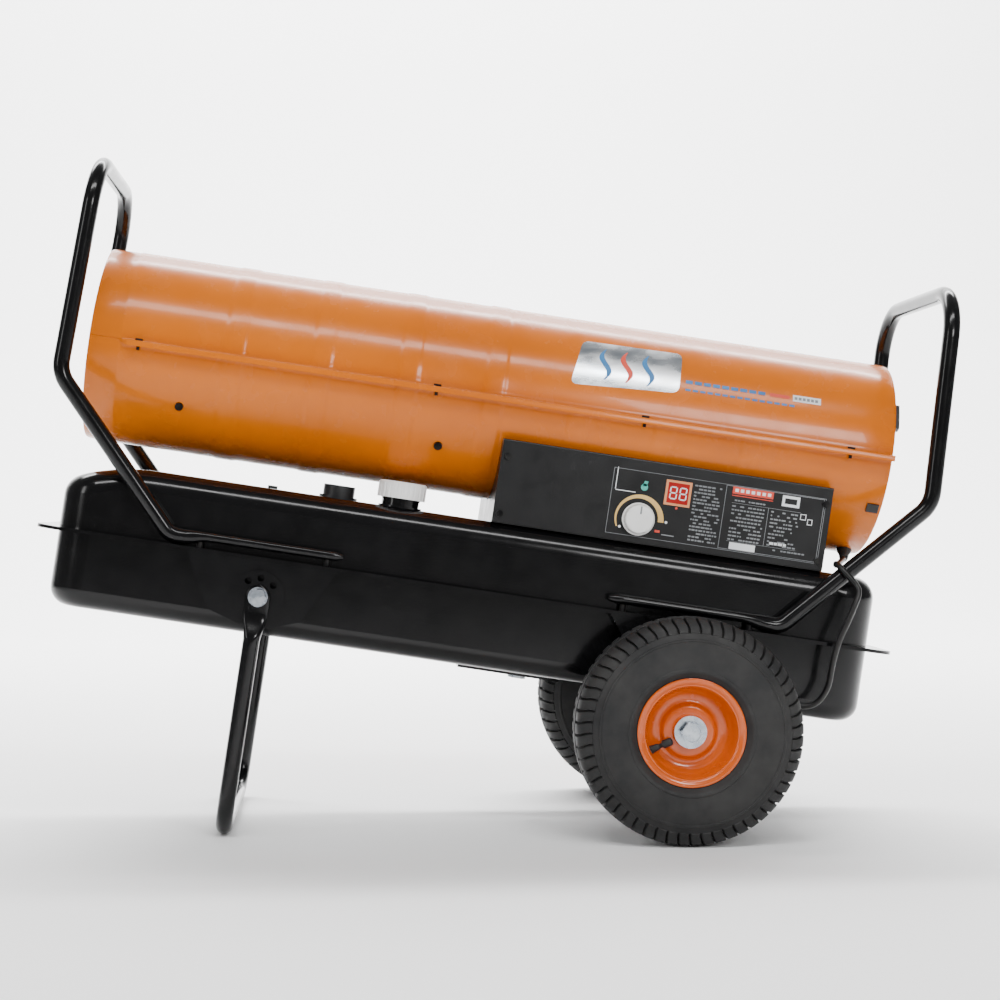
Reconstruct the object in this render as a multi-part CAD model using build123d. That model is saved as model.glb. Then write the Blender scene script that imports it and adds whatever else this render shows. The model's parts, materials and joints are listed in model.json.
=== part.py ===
from build123d import *
import math
import os

# Forced-air kerosene heater: a horizontal barrel above a pressed fuel tank, on two wheels and a leg.
# Millimetres. The chassis frame has u along the tank (outlet end at -u), y across it and w up from the
# tank's seam. The chassis is raked about y, and then the whole object stands on z = 0.

# Driving dimensions
RAKE = 8.6                      # outlet end up, degrees
TANK_LENGTH, TANK_WIDTH, TANK_CORNER = 977.0, 276.0, 42.0
FLANGE_LENGTH, FLANGE_WIDTH, FLANGE_CORNER = 1020.0, 324.0, 36.0
TANK_TOP, TANK_END_TOP, TANK_DEPTH = 83.0, 58.0, 90.5
SLOPE_START = -380.0            # where the tank's top begins to curve down to its outlet end
SUMP_FRONT, SUMP_REAR, SUMP_Y, SUMP_DEPTH, SUMP_TOP = 10.0, 135.0, 50.0, 98.5, -70.0
TOP_ROUND, BOTTOM_ROUND = 26.0, 22.0
SHEET = 2.0
BARREL_AXIS, BARREL_R = 230.0, 119.0
BARREL_FRONT, BARREL_REAR = -485.0, 482.0
COLLAR, COLLAR_R = 36.0, 118.3  # plain stretch at the outlet, drawn in a little
BEAD, BEAD_WIDTH = 1.0, 31.0
BEADS_BOTH = (-312.5, -208.0, -103.5, 0.0)
BEADS_LOWER = (104.0, 208.0, 313.0)
LEDGE_Y, LIP_DROP = 131.0, 5.0
SEAM_SCREWS = (-425.0, -68.0, 182.0, 430.0)
SIDE_SCREWS = (-369.0, -56.0)
SIDE_SCREW_ANGLE = 33.7         # below the seam, degrees
TUBE_R, TUBE_WALL = 9.75, 1.5
HANDLE_Y, HANDLE_TOP = 150.0, 435.0
FRONT_BEND, REAR_BEND = -352.0, 371.0
HANDLE_FOOT, HANDLE_REACH, HANDLE_RISE, HANDLE_LEAN = 204.0, 156.0, 180.0, 8.0
TOP_BEND = 58.0
BOLT_FROM_BEND = (36.0, 186.0)
FOOT_HEIGHT, FOOT_WIDTH = 12.0, 22.0
BRACKET_IN, BRACKET_OUT = 158.0, 161.0
LEG_U, LEG_PIVOT, LEG_BAR, LEG_Y = -239.0, -44.0, -317.5, 171.5
LEG_END, LEG_FLAT = (164.3, 170.3), 36.0    # faces of the flattened end, and its reach from the pivot
AXLE_U, AXLE_W, AXLE_R = 270.0, -119.0, 10.0
WHEEL_Y, WHEEL_R, TYRE_HALF = 210.0, 130.0, 40.0
BOX_FRONT, BOX_REAR, BOX_Y, BOX_TOP = 19.0, 416.0, 126.0, 181.0
PANEL_FACE, LIP_EDGE = 128.0, 111.5
KNOB_U, KNOB_W, KNOB_R = 190.6, 112.0, 19.5
DISPLAY_U, DISPLAY_W = 233.0, 149.0
FILLER_U, FILLER_Y = -90.0, -92.0
GAUGE_U, GAUGE_Y = -165.0, -70.0
DRAIN_U = 88.0
CHAMBER_R, CHAMBER_FRONT, CHAMBER_REAR = 95.0, -478.0, -60.0
FAN_U, FAN_R = 206.0, 106.0
MOTOR_R, MOTOR_FRONT, MOTOR_REAR = 48.0, 250.0, 370.0
SHAFT_R, RUNNING_FIT = 5.0, 0.05

# Power cord: where its sleeve leaves the barrel, its route over the floor, and the put-away coil
CORD_R = 3.5
RELIEF_START, RELIEF_END = (463.0, -30.0, 115.0), (457.0, -58.0, 103.0)
CORD_ROUTE = [
    (425.6, -58, 321.5), (397.3, -137, 314.2), (393.4, -148.5, 318.8), (395, -161, 315.1),
    (402, -167, 305.8), (411, -171, 295.5), (415, -176, 286), (408, -180, 271), (401.3, -180, 253.8),
    (389.7, -180, 230.7), (382, -178, 201.7), (378, -176, 172), (360, -172, 150), (332, -163, 156),
    (300, -151, 164), (266, -149, 158), (232, -149, 150), (188, -148, 148), (158, -146, 133),
    (135, -140, 108), (124, -131, 78), (128, -121, 46), (145, -112, 18), (167, -106, 5),
    (192, -103.5, 4.9), (216, -103.7, 5.5)]
CORD_TAIL = [(267.5, -52, 8), (267.7, -36, 12), (267, -20, 18.3), (267, -4, 18.3)]
COIL_X, COIL_Y, COIL_LOW = 226.0, -62.0, 1.0
COIL_INNER, COIL_OUTER, COIL_HEIGHT = 33.0, 50.0, 15.5


# Shapes shared by several pieces
def block(u0, u1, y0, y1, w0, w1):
    return Pos((u0 + u1) / 2, (y0 + y1) / 2, (w0 + w1) / 2) * Box(u1 - u0, y1 - y0, w1 - w0)


def rod_x(u0, u1, y, w, radius):
    return Pos((u0 + u1) / 2, y, w) * Rot(0, 90, 0) * Cylinder(radius, abs(u1 - u0))


def rod_y(y0, y1, u, w, radius):
    return Pos(u, (y0 + y1) / 2, w) * Rot(90, 0, 0) * Cylinder(radius, abs(y1 - y0))


def rod_z(w0, w1, u, y, radius):
    return Pos(u, y, (w0 + w1) / 2) * Cylinder(radius, abs(w1 - w0))


def rod_between(start, end, radius, end_radius=None):
    """A round bar or cone from one point to another."""
    line = Vector(*end) - Vector(*start)
    plane = Plane(origin=start, z_dir=line)
    centred = (Align.CENTER, Align.CENTER, Align.MIN)
    if end_radius is None:
        return plane * Cylinder(radius, line.length, align=centred)
    return plane * Cone(radius, end_radius, line.length, align=centred)


def hex_y(y0, y1, u, w, radius):
    return Pos(u, min(y0, y1), w) * Rot(-90, 0, 0) * extrude(RegularPolygon(radius, 6), abs(y1 - y0))


def hex_z(w0, w1, u, y, radius):
    return Pos(u, y, w0) * extrude(RegularPolygon(radius, 6), w1 - w0)


def plan_slab(length, width, corner, w0, w1):
    return Pos(0, 0, w0) * extrude(RectangleRounded(length, width, corner), w1 - w0)


def side_plate(points, y0, y1, side):
    """A flat plate drawn in u and w, between two distances from the middle, on side -1 or +1."""
    outline = Plane.XZ * make_face(Polyline(*points, close=True))
    low, high = (y0, y1) if side > 0 else (-y1, -y0)
    return Pos(0, high, 0) * extrude(outline, high - low)


def turned_x(points):
    """A solid of revolution about the barrel's axis, from points of u and radius."""
    profile = make_face(Polyline(*points, close=True))
    return Pos(0, 0, BARREL_AXIS) * revolve(profile, Axis.X, 360)


def group(shapes):
    solids = []
    for shape in shapes:
        solids.extend(shape.solids())
    return Compound(solids)


def tube_along(points, radii, radius, wall):
    path = FilletPolyline(*points, radius=radii)
    section = Plane(origin=path @ 0, z_dir=path % 0) * (Circle(radius) - Circle(radius - wall))
    return sweep(section, path=path)


# Fuel tank: two pressed halves with a seam flange
def tank_top_profile():
    """Side view of the upper half: its top curves down to the outlet end."""
    half = TANK_LENGTH / 2
    sides = Polyline((-half, TANK_END_TOP), (-half, 0), (half, 0), (half, TANK_TOP),
                     (SLOPE_START, TANK_TOP))
    top = TangentArc((SLOPE_START, TANK_TOP), (-half, TANK_END_TOP), tangent=(-1, 0))
    return make_face(Plane.XZ * (sides + top))


def tank_hump(inset):
    """The upper half's closed body, smaller by inset on every outer side."""
    body = plan_slab(TANK_LENGTH - 2 * inset, TANK_WIDTH - 2 * inset, TANK_CORNER - inset, 0, TANK_TOP)
    envelope = Pos(0, TANK_WIDTH, -inset) * extrude(tank_top_profile(), 2 * TANK_WIDTH)
    body = body & envelope
    roof = [edge for edge in body.edges() if edge.center().Z > TANK_END_TOP - inset - 1
            and abs(edge.bounding_box().size.Z) < TANK_TOP - TANK_END_TOP + 1]
    rim = [edge for edge in roof if edge.bounding_box().size.Y < TANK_WIDTH - 2 * TANK_CORNER - 1
           or abs(edge.center().X) > TANK_LENGTH / 2 - inset - 1]
    return fillet(rim, TOP_ROUND - inset)


def tank_upper_shell():
    flange = plan_slab(FLANGE_LENGTH, FLANGE_WIDTH, FLANGE_CORNER, 0, SHEET)
    shell = flange + tank_hump(0) - tank_hump(SHEET)
    shell -= rod_z(0, 100, FILLER_U, FILLER_Y, 22.5)
    shell -= rod_z(0, 100, GAUGE_U, GAUGE_Y, 12.0)
    shell -= rod_z(0, 100, 60, 0, 6.2)
    shell -= rod_z(0, 100, -248, 0, 3.2)
    return drill_flange(shell, 0, SHEET)


def tank_pan(inset, floor, w1):
    body = plan_slab(TANK_LENGTH - 2 * inset, TANK_WIDTH - 2 * inset, TANK_CORNER - inset, floor, w1)
    return fillet(body.faces().sort_by(Axis.Z)[0].edges(), BOTTOM_ROUND - inset)


def sump(inset):
    """Shallow low point pressed into the tank's floor, for the drain plug."""
    return block(SUMP_FRONT + inset, SUMP_REAR - inset, inset - SUMP_Y, SUMP_Y - inset,
                 inset - SUMP_DEPTH, SUMP_TOP)


def tank_lower_shell():
    flange = plan_slab(FLANGE_LENGTH, FLANGE_WIDTH, FLANGE_CORNER, -SHEET, 0)
    body = flange + tank_pan(0, -TANK_DEPTH, 0) + sump(0)
    body -= tank_pan(SHEET, -TANK_DEPTH + SHEET, 1) + sump(SHEET)
    body -= rod_z(-SUMP_DEPTH - 5, -SUMP_DEPTH + 5, DRAIN_U, 0, 6.2)
    return drill_flange(body, -SHEET, 0)


def drill_flange(shell, w0, w1):
    for u, side in bolt_places():
        shell -= rod_z(w0 - 1, w1 + 1, u, side * HANDLE_Y, 4.2)
    return shell


def drain_plug():
    head = hex_z(-SUMP_DEPTH - 6, -SUMP_DEPTH, DRAIN_U, 0, 11)
    return head + rod_z(-SUMP_DEPTH, -SUMP_DEPTH + 5, DRAIN_U, 0, 6)


def filler_neck():
    neck = rod_z(74, 107, FILLER_U, FILLER_Y, 22.4) + rod_z(TANK_TOP, 85, FILLER_U, FILLER_Y, 26)
    for thread in (92, 97, 102):
        neck += rod_z(thread, thread + 2, FILLER_U, FILLER_Y, 23.2)
    return neck - rod_z(70, 110, FILLER_U, FILLER_Y, 18)


def filler_cap():
    cap = rod_z(94, 114, FILLER_U, FILLER_Y, 29)
    cap = chamfer(cap.faces().sort_by(Axis.Z)[-1].edges(), 2)
    for turn in range(24):
        angle = math.radians(15 * turn)
        cap -= rod_z(93, 111, FILLER_U + 30 * math.cos(angle), FILLER_Y + 30 * math.sin(angle), 2.0)
    return cap - rod_z(93, 110, FILLER_U, FILLER_Y, 24)


def cap_gasket():
    return rod_z(107.3, 109.7, FILLER_U, FILLER_Y, 23.6) - rod_z(107, 111, FILLER_U, FILLER_Y, 17)


def fuel_gauge():
    gauge = rod_z(TANK_TOP, 86, GAUGE_U, GAUGE_Y, 23) + rod_z(86, 99, GAUGE_U, GAUGE_Y, 19)
    gauge += rod_z(60, TANK_TOP, GAUGE_U, GAUGE_Y, 11.8) + rod_z(-80, 60, GAUGE_U, GAUGE_Y, 2.5)
    return gauge - rod_z(97, 100, GAUGE_U, GAUGE_Y, 16.5) + rod_z(-82, -80, GAUGE_U, GAUGE_Y, 7)


def gauge_float():
    return rod_z(-79.5, -49.5, GAUGE_U, GAUGE_Y, 14) - rod_z(-90, -40, GAUGE_U, GAUGE_Y, 2.5 + RUNNING_FIT)


def tank_vent():
    return rod_z(TANK_TOP, 87, -248, 0, 6) + rod_z(76, TANK_TOP, -248, 0, 3)


def fuel_pickup():
    fitting = hex_z(TANK_TOP, 90, 60, 0, 10) + rod_z(-80, TANK_TOP, 60, 0, 6)
    fitting += rod_z(90, 98, 60, 0, 4) + rod_z(-86, -80, 60, 0, 9)
    return fitting - rod_z(-90, 100, 60, 0, 2)


def fuel_line():
    """Hose from the pickup fitting up through the barrel's floor to the nozzle holder."""
    return tube_along([(60, 0, 98), (60, 0, BARREL_AXIS), (-12, 0, BARREL_AXIS)], (45,), 4.0, 1.5)


# Handles and their fasteners
def bolt_places():
    """Every handle bolt, as its u and its side."""
    places = []
    for bend, way in ((FRONT_BEND, 1), (REAR_BEND, -1)):
        for distance in BOLT_FROM_BEND:
            for side in (-1, 1):
                places.append((bend + way * distance, side))
    return places


def handle(bend, way):
    """A bent tube over one end, way -1 for the outlet end, with its feet along the flange."""
    rest = SHEET + TUBE_R + 0.05
    reach = bend + way * HANDLE_REACH
    top = reach - way * HANDLE_LEAN
    half = [(bend - way * 22, rest), (bend, rest), (reach, HANDLE_RISE), (top, HANDLE_TOP)]
    near = [(u, -HANDLE_Y, w) for u, w in half]
    far = [(u, HANDLE_Y, w) for u, w in reversed(half)]
    result = tube_along(near + far, (22, 38, TOP_BEND, TOP_BEND, 38, 22), TUBE_R, TUBE_WALL)
    toe = bend - way * HANDLE_FOOT
    for side in (-1, 1):
        y0 = side * HANDLE_Y - FOOT_WIDTH / 2
        foot = block(min(toe, bend), max(toe, bend), y0, y0 + FOOT_WIDTH, SHEET, SHEET + FOOT_HEIGHT)
        foot = fillet(foot.edges().filter_by(Axis.X), 4.5)
        result += foot
    for u, side in bolt_places():
        result -= rod_z(0, 20, u, side * HANDLE_Y, 4.2)
    return result


def handle_bolts():
    bolts = []
    top = SHEET + FOOT_HEIGHT
    for u, side in bolt_places():
        y = side * HANDLE_Y
        bolts.append(hex_z(top + 1.6, top + 6.9, u, y, 7) + rod_z(top, top + 1.6, u, y, 8.5)
                     + rod_z(-15, top, u, y, 4))
    return group(bolts)


def handle_nuts():
    nuts = []
    for u, side in bolt_places():
        y = side * HANDLE_Y
        nuts.append(hex_z(-11.5, -5, u, y, 7.3) - rod_z(-12, -4, u, y, 4.05))
    return group(nuts)


# Folding leg
def leg_brackets():
    outer = FRONT_BEND + BOLT_FROM_BEND[0] - 14
    inner = FRONT_BEND + BOLT_FROM_BEND[1] + 14
    outline = [(outer, -SHEET), (inner, -SHEET), (inner - 34, -66), (LEG_U + 20, -78), (LEG_U - 20, -78),
               (outer + 34, -66)]
    brackets = []
    for side in (-1, 1):
        plate = side_plate(outline, BRACKET_IN, BRACKET_OUT, side)
        y0, y1 = sorted((side * 139, side * BRACKET_OUT))
        plate += block(outer, inner, y0, y1, -5, -SHEET)
        plate += rod_y(side * BRACKET_IN, side * (LEG_END[0] - 0.3), LEG_U, LEG_PIVOT, 31)
        plate -= rod_y(side * 140, side * 180, LEG_U, LEG_PIVOT, 6.2)
        for angle in (135, 90, 50):
            place = math.radians(angle - 90)
            hole_u = LEG_U + 22 * math.sin(place)
            hole_w = LEG_PIVOT + 22 * math.cos(place)
            plate -= rod_y(side * 140, side * 180, hole_u, hole_w, 4)
        for u, bolt_side in bolt_places():
            plate -= rod_z(-6, 0, u, bolt_side * HANDLE_Y, 4.2)
        brackets.append(plate)
    return group(brackets)


def leg_pivot_bolts():
    bolts = []
    for side in (-1, 1):
        head = LEG_END[1] + 0.3
        bolt = rod_y(side * 150, side * head, LEG_U, LEG_PIVOT, 6)
        bolt += rod_y(side * head, side * (head + 2.5), LEG_U, LEG_PIVOT, 11.5)
        bolt += hex_y(side * (head + 2.5), side * (head + 10.5), LEG_U, LEG_PIVOT, 10.2)
        bolt += hex_y(side * 148, side * BRACKET_IN, LEG_U, LEG_PIVOT, 10.2)
        bolts.append(bolt)
    return group(bolts)


def support_leg():
    """A U tube with flattened ends, turning on the two pivot bolts."""
    near = [(LEG_U, -LEG_Y, LEG_PIVOT - LEG_FLAT), (LEG_U, -LEG_Y, LEG_BAR)]
    far = [(LEG_U, LEG_Y, LEG_BAR), (LEG_U, LEG_Y, LEG_PIVOT - LEG_FLAT)]
    leg = tube_along(near + far, (40, 40), TUBE_R, TUBE_WALL)
    for side in (-1, 1):
        y0, y1 = sorted((side * LEG_END[0], side * LEG_END[1]))
        leg += rod_y(y0, y1, LEG_U, LEG_PIVOT, 14.5)
        outline = [(LEG_U - 14.5, LEG_PIVOT), (LEG_U + 14.5, LEG_PIVOT), (LEG_U + 14, LEG_PIVOT - 20),
                   (LEG_U + 9.5, LEG_PIVOT - 48), (LEG_U - 9.5, LEG_PIVOT - 48), (LEG_U - 14, LEG_PIVOT - 20)]
        leg += side_plate(outline, *LEG_END, side)
        leg -= rod_y(side * 150, side * 180, LEG_U, LEG_PIVOT, 6 + RUNNING_FIT)
    return leg


# Axle and wheels
def axle_brackets():
    inner = REAR_BEND - BOLT_FROM_BEND[1] - 14
    outer = REAR_BEND - BOLT_FROM_BEND[0] + 14
    outline = [(inner, -SHEET), (outer, -SHEET), (AXLE_U + 17, AXLE_W), (AXLE_U - 17, AXLE_W)]
    brackets = []
    for side in (-1, 1):
        plate = side_plate(outline, BRACKET_IN, BRACKET_OUT, side)
        plate += rod_y(side * BRACKET_IN, side * BRACKET_OUT, AXLE_U, AXLE_W, 18)
        y0, y1 = sorted((side * 139, side * BRACKET_OUT))
        plate += block(inner, outer, y0, y1, -5, -SHEET)
        plate -= rod_y(side * 150, side * 170, AXLE_U, AXLE_W, AXLE_R + 0.2)
        for u, bolt_side in bolt_places():
            plate -= rod_z(-6, 0, u, bolt_side * HANDLE_Y, 4.2)
        brackets.append(plate)
    return group(brackets)


def axle():
    return rod_y(-243, 243, AXLE_U, AXLE_W, AXLE_R)


def axle_washers():
    rings = []
    for side in (-1, 1):
        for y0, y1, radius in ((BRACKET_OUT, 187.7, 14), (232.3, 235, 18.5)):
            ring = rod_y(side * y0, side * y1, AXLE_U, AXLE_W, radius)
            rings.append(ring - rod_y(side * 150, side * 250, AXLE_U, AXLE_W, AXLE_R + 0.02))
    return group(rings)


def axle_nuts():
    nuts = []
    for side in (-1, 1):
        nut = hex_y(side * 235, side * 245, AXLE_U, AXLE_W, 12.5)
        nuts.append(nut - rod_y(side * 230, side * 250, AXLE_U, AXLE_W, AXLE_R + 0.02))
    return group(nuts)


def wheel_turned(points, side):
    """A solid of revolution about the axle, from points of radius and distance from the wheel's middle."""
    profile = Plane.XY * make_face(Polyline(*[(r, s) for r, s in points], close=True))
    return Pos(AXLE_U, side * WHEEL_Y, AXLE_W) * revolve(profile, Axis.Y, 360)


def tyre(side):
    outside = [(62.4, 31), (67, 36), (82, 39.5), (96, TYRE_HALF), (112, 38), (123, 33), (128, 26)]
    inside = [(122, 22), (114, 27), (100, 31), (84, 31), (68, 28), (60, 23), (53.2, 20)]
    half = [(53.2, 31)] + outside + [(WHEEL_R, 14)]
    crown = half + [(r, -s) for r, s in reversed(half)]
    hollow = [(r, -s) for r, s in reversed(inside)] + inside
    return wheel_turned(crown + hollow, side)


def rim(side):
    """Steel rim with a dished web, its deep dish on the outer side."""
    face = [(19, 22), (19, 11), (28, 11), (32, 5), (44, 5), (48, 10), (49.5, 27), (54, 33), (61.5, 33.5)]
    back = [(61.5, 31.4), (53, 31.2), (53, -31.2), (61.5, -31.4), (61.5, -33.5), (54, -33), (49.5, -27),
            (48, -2), (44, 1), (33, 1), (29, 7), (19, 7), (19, -22), (15, -22), (15, 22)]
    points = [(r, side * s) for r, s in face + back]
    return wheel_turned(points, side)


def wheel_bush(side):
    ring = rod_y(side * 188, side * 232, AXLE_U, AXLE_W, 15)
    return ring - rod_y(side * 187, side * 233, AXLE_U, AXLE_W, AXLE_R + RUNNING_FIT)


def valve_stem(side):
    """Rubber valve stem, pointing in from the rim's barrel towards the hub, a little outwards."""
    angle = math.radians(217.6)
    start = (AXLE_U + 47.6 * math.cos(angle), side * (WHEEL_Y + 16), AXLE_W + 47.6 * math.sin(angle))
    middle = (AXLE_U + 34 * math.cos(angle), side * (WHEEL_Y + 20), AXLE_W + 34 * math.sin(angle))
    end = (AXLE_U + 25 * math.cos(angle), side * (WHEEL_Y + 22.4), AXLE_W + 25 * math.sin(angle))
    return rod_between(start, middle, 4.5, 3.6) + rod_between(middle, end, 4.2)


# Barrel
def barrel_tube(beads):
    """The barrel's full round wall, with raised bead bands centred at the given places."""
    outer = [(BARREL_FRONT, BARREL_R - SHEET)]
    outer += [(BARREL_FRONT, COLLAR_R - 1), (BARREL_FRONT + 1, COLLAR_R)]
    outer += [(BARREL_FRONT + COLLAR - 2, COLLAR_R), (BARREL_FRONT + COLLAR, BARREL_R)]
    for middle in beads:
        start, end = middle - BEAD_WIDTH / 2, middle + BEAD_WIDTH / 2
        outer += [(start, BARREL_R), (start + 3, BARREL_R + BEAD), (end - 3, BARREL_R + BEAD),
                  (end, BARREL_R)]
    outer += [(BARREL_REAR, BARREL_R), (BARREL_REAR, BARREL_R - SHEET)]
    return turned_x(outer)


def seam_screw_places():
    return [(u, side * 125) for u in SEAM_SCREWS for side in (-1, 1)]


def side_screw_line(side, radius):
    """Where a side screw's axis is at a given radius, as y and w."""
    angle = math.radians(SIDE_SCREW_ANGLE)
    return side * radius * math.cos(angle), BARREL_AXIS - radius * math.sin(angle)


def barrel_upper_shell():
    wall = barrel_tube(BEADS_BOTH) & block(-600, 600, -200, 200, BARREL_AXIS, BARREL_AXIS + 200)
    ledge_front = BARREL_FRONT + COLLAR
    for side in (-1, 1):
        y0, y1 = sorted((side * (BARREL_R - 1.5), side * LEDGE_Y))
        wall += block(ledge_front, BARREL_REAR, y0, y1, BARREL_AXIS, BARREL_AXIS + SHEET)
        y0, y1 = sorted((side * (LEDGE_Y - 1.5), side * LEDGE_Y))
        wall += block(ledge_front, BARREL_REAR, y0, y1, BARREL_AXIS - LIP_DROP, BARREL_AXIS + SHEET)
    for u, y in seam_screw_places():
        wall -= rod_z(BARREL_AXIS - 10, BARREL_AXIS + 5, u, y, 2.2)
    return wall


def barrel_lower_shell():
    wall = barrel_tube(BEADS_BOTH + BEADS_LOWER)
    wall = wall & block(-600, 600, -200, 200, BARREL_AXIS - 200, BARREL_AXIS)
    for side in (-1, 1):
        y0, y1 = sorted((side * (BARREL_R - 1.5), side * (LEDGE_Y - 2)))
        wall += block(BARREL_FRONT + COLLAR, BARREL_REAR, y0, y1, BARREL_AXIS - SHEET, BARREL_AXIS)
    for u, y in seam_screw_places():
        wall -= rod_z(BARREL_AXIS - 10, BARREL_AXIS + 5, u, y, 2.2)
    for u in SIDE_SCREWS:
        for side in (-1, 1):
            inner = side_screw_line(side, 100)
            outer = side_screw_line(side, 130)
            wall -= rod_between((u, *inner), (u, *outer), 2.2)
    wall -= block(40, 120, -28, 28, 100, 125)
    start, way = relief_line()
    return wall - rod_between(start - way * 20, start + way * 20, 6.2)


def barrel_screws():
    screws = []
    top = BARREL_AXIS + SHEET
    for u, y in seam_screw_places():
        screws.append(rod_z(top, top + 2.6, u, y, 4.6) + rod_z(top - 11, top, u, y, 2))
    for u in SIDE_SCREWS:
        for side in (-1, 1):
            inner = side_screw_line(side, 107)
            skin = side_screw_line(side, BARREL_R)
            outer = side_screw_line(side, BARREL_R + 3)
            screws.append(rod_between((u, *inner), (u, *skin), 2) + rod_between((u, *skin), (u, *outer), 5))
    return group(screws)


# Burner
def combustion_chamber():
    r = CHAMBER_R
    points = [(CHAMBER_FRONT, 78), (CHAMBER_FRONT + 14, r), (CHAMBER_REAR, r), (CHAMBER_REAR, r - 1.5),
              (CHAMBER_FRONT + 14.8, r - 1.5), (CHAMBER_FRONT + 1.2, 77)]
    return turned_x(points)


def radial_bar(u0, u1, r0, r1, thickness, angle):
    """A flat bar that stands out from the barrel's axis at an angle from straight up."""
    bar = block(u0, u1, -thickness / 2, thickness / 2, r0, r1)
    return Pos(0, 0, BARREL_AXIS) * Rot(angle, 0, 0) * bar


def chamber_supports():
    bars = []
    for u in SIDE_SCREWS:
        for angle in (0, 90 + SIDE_SCREW_ANGLE, -90 - SIDE_SCREW_ANGLE):
            bar = radial_bar(u + 3, u + 23, CHAMBER_R + 0.1, BARREL_R - SHEET - 0.3, 3, angle)
            pad = radial_bar(u - 8, u + 23, BARREL_R - SHEET - 3.3, BARREL_R - SHEET - 0.3, 14, angle)
            hole = radial_bar(u - 2.2, u + 2.2, 100, 120, 4.4, angle)
            bars.append(bar + pad - hole)
    return group(bars)


def flame_baffle():
    baffle = rod_x(-446, -443, 0, BARREL_AXIS, 42)
    for angle in (0, 120, 240):
        baffle += radial_bar(-446, -443, 30, CHAMBER_R - 1.7, 12, angle)
    return baffle


def burner_head():
    """Swirl plate that closes the chamber's rear, with a blast tube behind it."""
    plate = rod_x(-64, -61, 0, BARREL_AXIS, CHAMBER_R - 1.7)
    plate += rod_x(-61, -16, 0, BARREL_AXIS, 46) - rod_x(-62, -15, 0, BARREL_AXIS, 44.5)
    plate -= rod_x(-70, -60, 0, BARREL_AXIS, 25)
    for turn in range(12):
        plate -= radial_bar(-70, -60, 56, 84, 5, 30 * turn)
    return plate


def nozzle():
    body = rod_x(-58, -36, 0, BARREL_AXIS, 7) + rod_x(-36, -12, 0, BARREL_AXIS, 11)
    return body + rod_between((-58, 0, BARREL_AXIS), (-64, 0, BARREL_AXIS), 7, 2.5)


def igniter_electrodes():
    rods = []
    for side in (-1, 1):
        rod = rod_x(-54, -22, side * 17, BARREL_AXIS + 17, 4)
        tip = rod_between((-54, side * 17, BARREL_AXIS + 17), (-70, side * 4, BARREL_AXIS + 13), 1.1)
        rods.append(rod + tip)
    return group(rods)


def photocell():
    return rod_x(-30, -12, 0, BARREL_AXIS - 28, 6) + rod_x(-12, -2, 0, BARREL_AXIS - 28, 8.5)


# Fan, motor and pump
def fan_blade():
    fan = rod_x(FAN_U - 16, FAN_U + 16, 0, BARREL_AXIS, 24)
    for turn in range(5):
        blade = Pos(FAN_U, 0, 64) * Rot(0, 0, 38) * Box(2, 46, 84)
        fan += Pos(0, 0, BARREL_AXIS) * Rot(72 * turn, 0, 0) * blade
    fan = fan & rod_x(FAN_U - 30, FAN_U + 30, 0, BARREL_AXIS, FAN_R)
    return fan - rod_x(FAN_U - 40, FAN_U + 40, 0, BARREL_AXIS, SHAFT_R)


def motor_shaft():
    return rod_x(FAN_U - 24, MOTOR_REAR + 30, 0, BARREL_AXIS, SHAFT_R)


def motor_body():
    body = rod_x(MOTOR_FRONT + 22, MOTOR_REAR - 22, 0, BARREL_AXIS, MOTOR_R)
    body += rod_x(MOTOR_FRONT + 6, MOTOR_REAR - 6, 0, BARREL_AXIS, MOTOR_R - 5)
    body += rod_x(MOTOR_FRONT, MOTOR_REAR, 0, BARREL_AXIS, 16)
    return body - rod_x(MOTOR_FRONT - 5, MOTOR_REAR + 5, 0, BARREL_AXIS, SHAFT_R + RUNNING_FIT)


def motor_bracket():
    low = BARREL_AXIS - BARREL_R + SHEET
    saddle = block(290, 330, -36, 36, low - 5, BARREL_AXIS - 30) - block(280, 340, -30, 30, low + 6, 170)
    saddle = saddle & rod_x(200, 400, 0, BARREL_AXIS, BARREL_R - SHEET - 0.3)
    return saddle - rod_x(200, 400, 0, BARREL_AXIS, MOTOR_R + 0.1)


def air_pump():
    """Vane pump on the motor's rear end, with its intake filter cover."""
    pump = rod_x(MOTOR_REAR, MOTOR_REAR + 34, 0, BARREL_AXIS, 42)
    pump += rod_x(MOTOR_REAR + 34, MOTOR_REAR + 52, 0, BARREL_AXIS, 37)
    for turn in range(6):
        angle = math.radians(60 * turn + 30)
        y, w = 32 * math.cos(angle), BARREL_AXIS + 32 * math.sin(angle)
        pump += rod_x(MOTOR_REAR + 52, MOTOR_REAR + 55, y, w, 3.6)
    return pump - rod_x(MOTOR_REAR - 1, MOTOR_REAR + 32, 0, BARREL_AXIS, SHAFT_R + RUNNING_FIT)


# Control box
def base_box():
    """Sheet-metal box between tank and barrel, open towards the control panel."""
    body = block(BOX_FRONT, BOX_REAR, -BOX_Y, BOX_Y, TANK_TOP, BOX_TOP)
    body -= block(BOX_FRONT + 2, BOX_REAR - 2, -BOX_Y + 2, BOX_Y - 2, TANK_TOP + 2, BOX_TOP + 1)
    body -= block(BOX_FRONT + 14, BOX_REAR - 14, -BOX_Y - 1, -BOX_Y + 3, TANK_TOP + 8, BOX_TOP + 1)
    body += block(BOX_FRONT, BOX_REAR, LIP_EDGE, BOX_Y, BOX_TOP - 2, BOX_TOP)
    body -= rod_x(0, 500, 0, BARREL_AXIS, BARREL_R + BEAD + 0.2)
    body -= rod_z(80, 90, 60, 0, 11)
    for u, w in panel_screw_places():
        body -= rod_y(-BOX_Y - 1, -BOX_Y + 4, u, w, 2.2)
    return body


def panel_screw_places():
    return [(u, w) for u in (BOX_FRONT + 8, BOX_REAR - 7) for w in (94.0, 162.5)]


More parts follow.
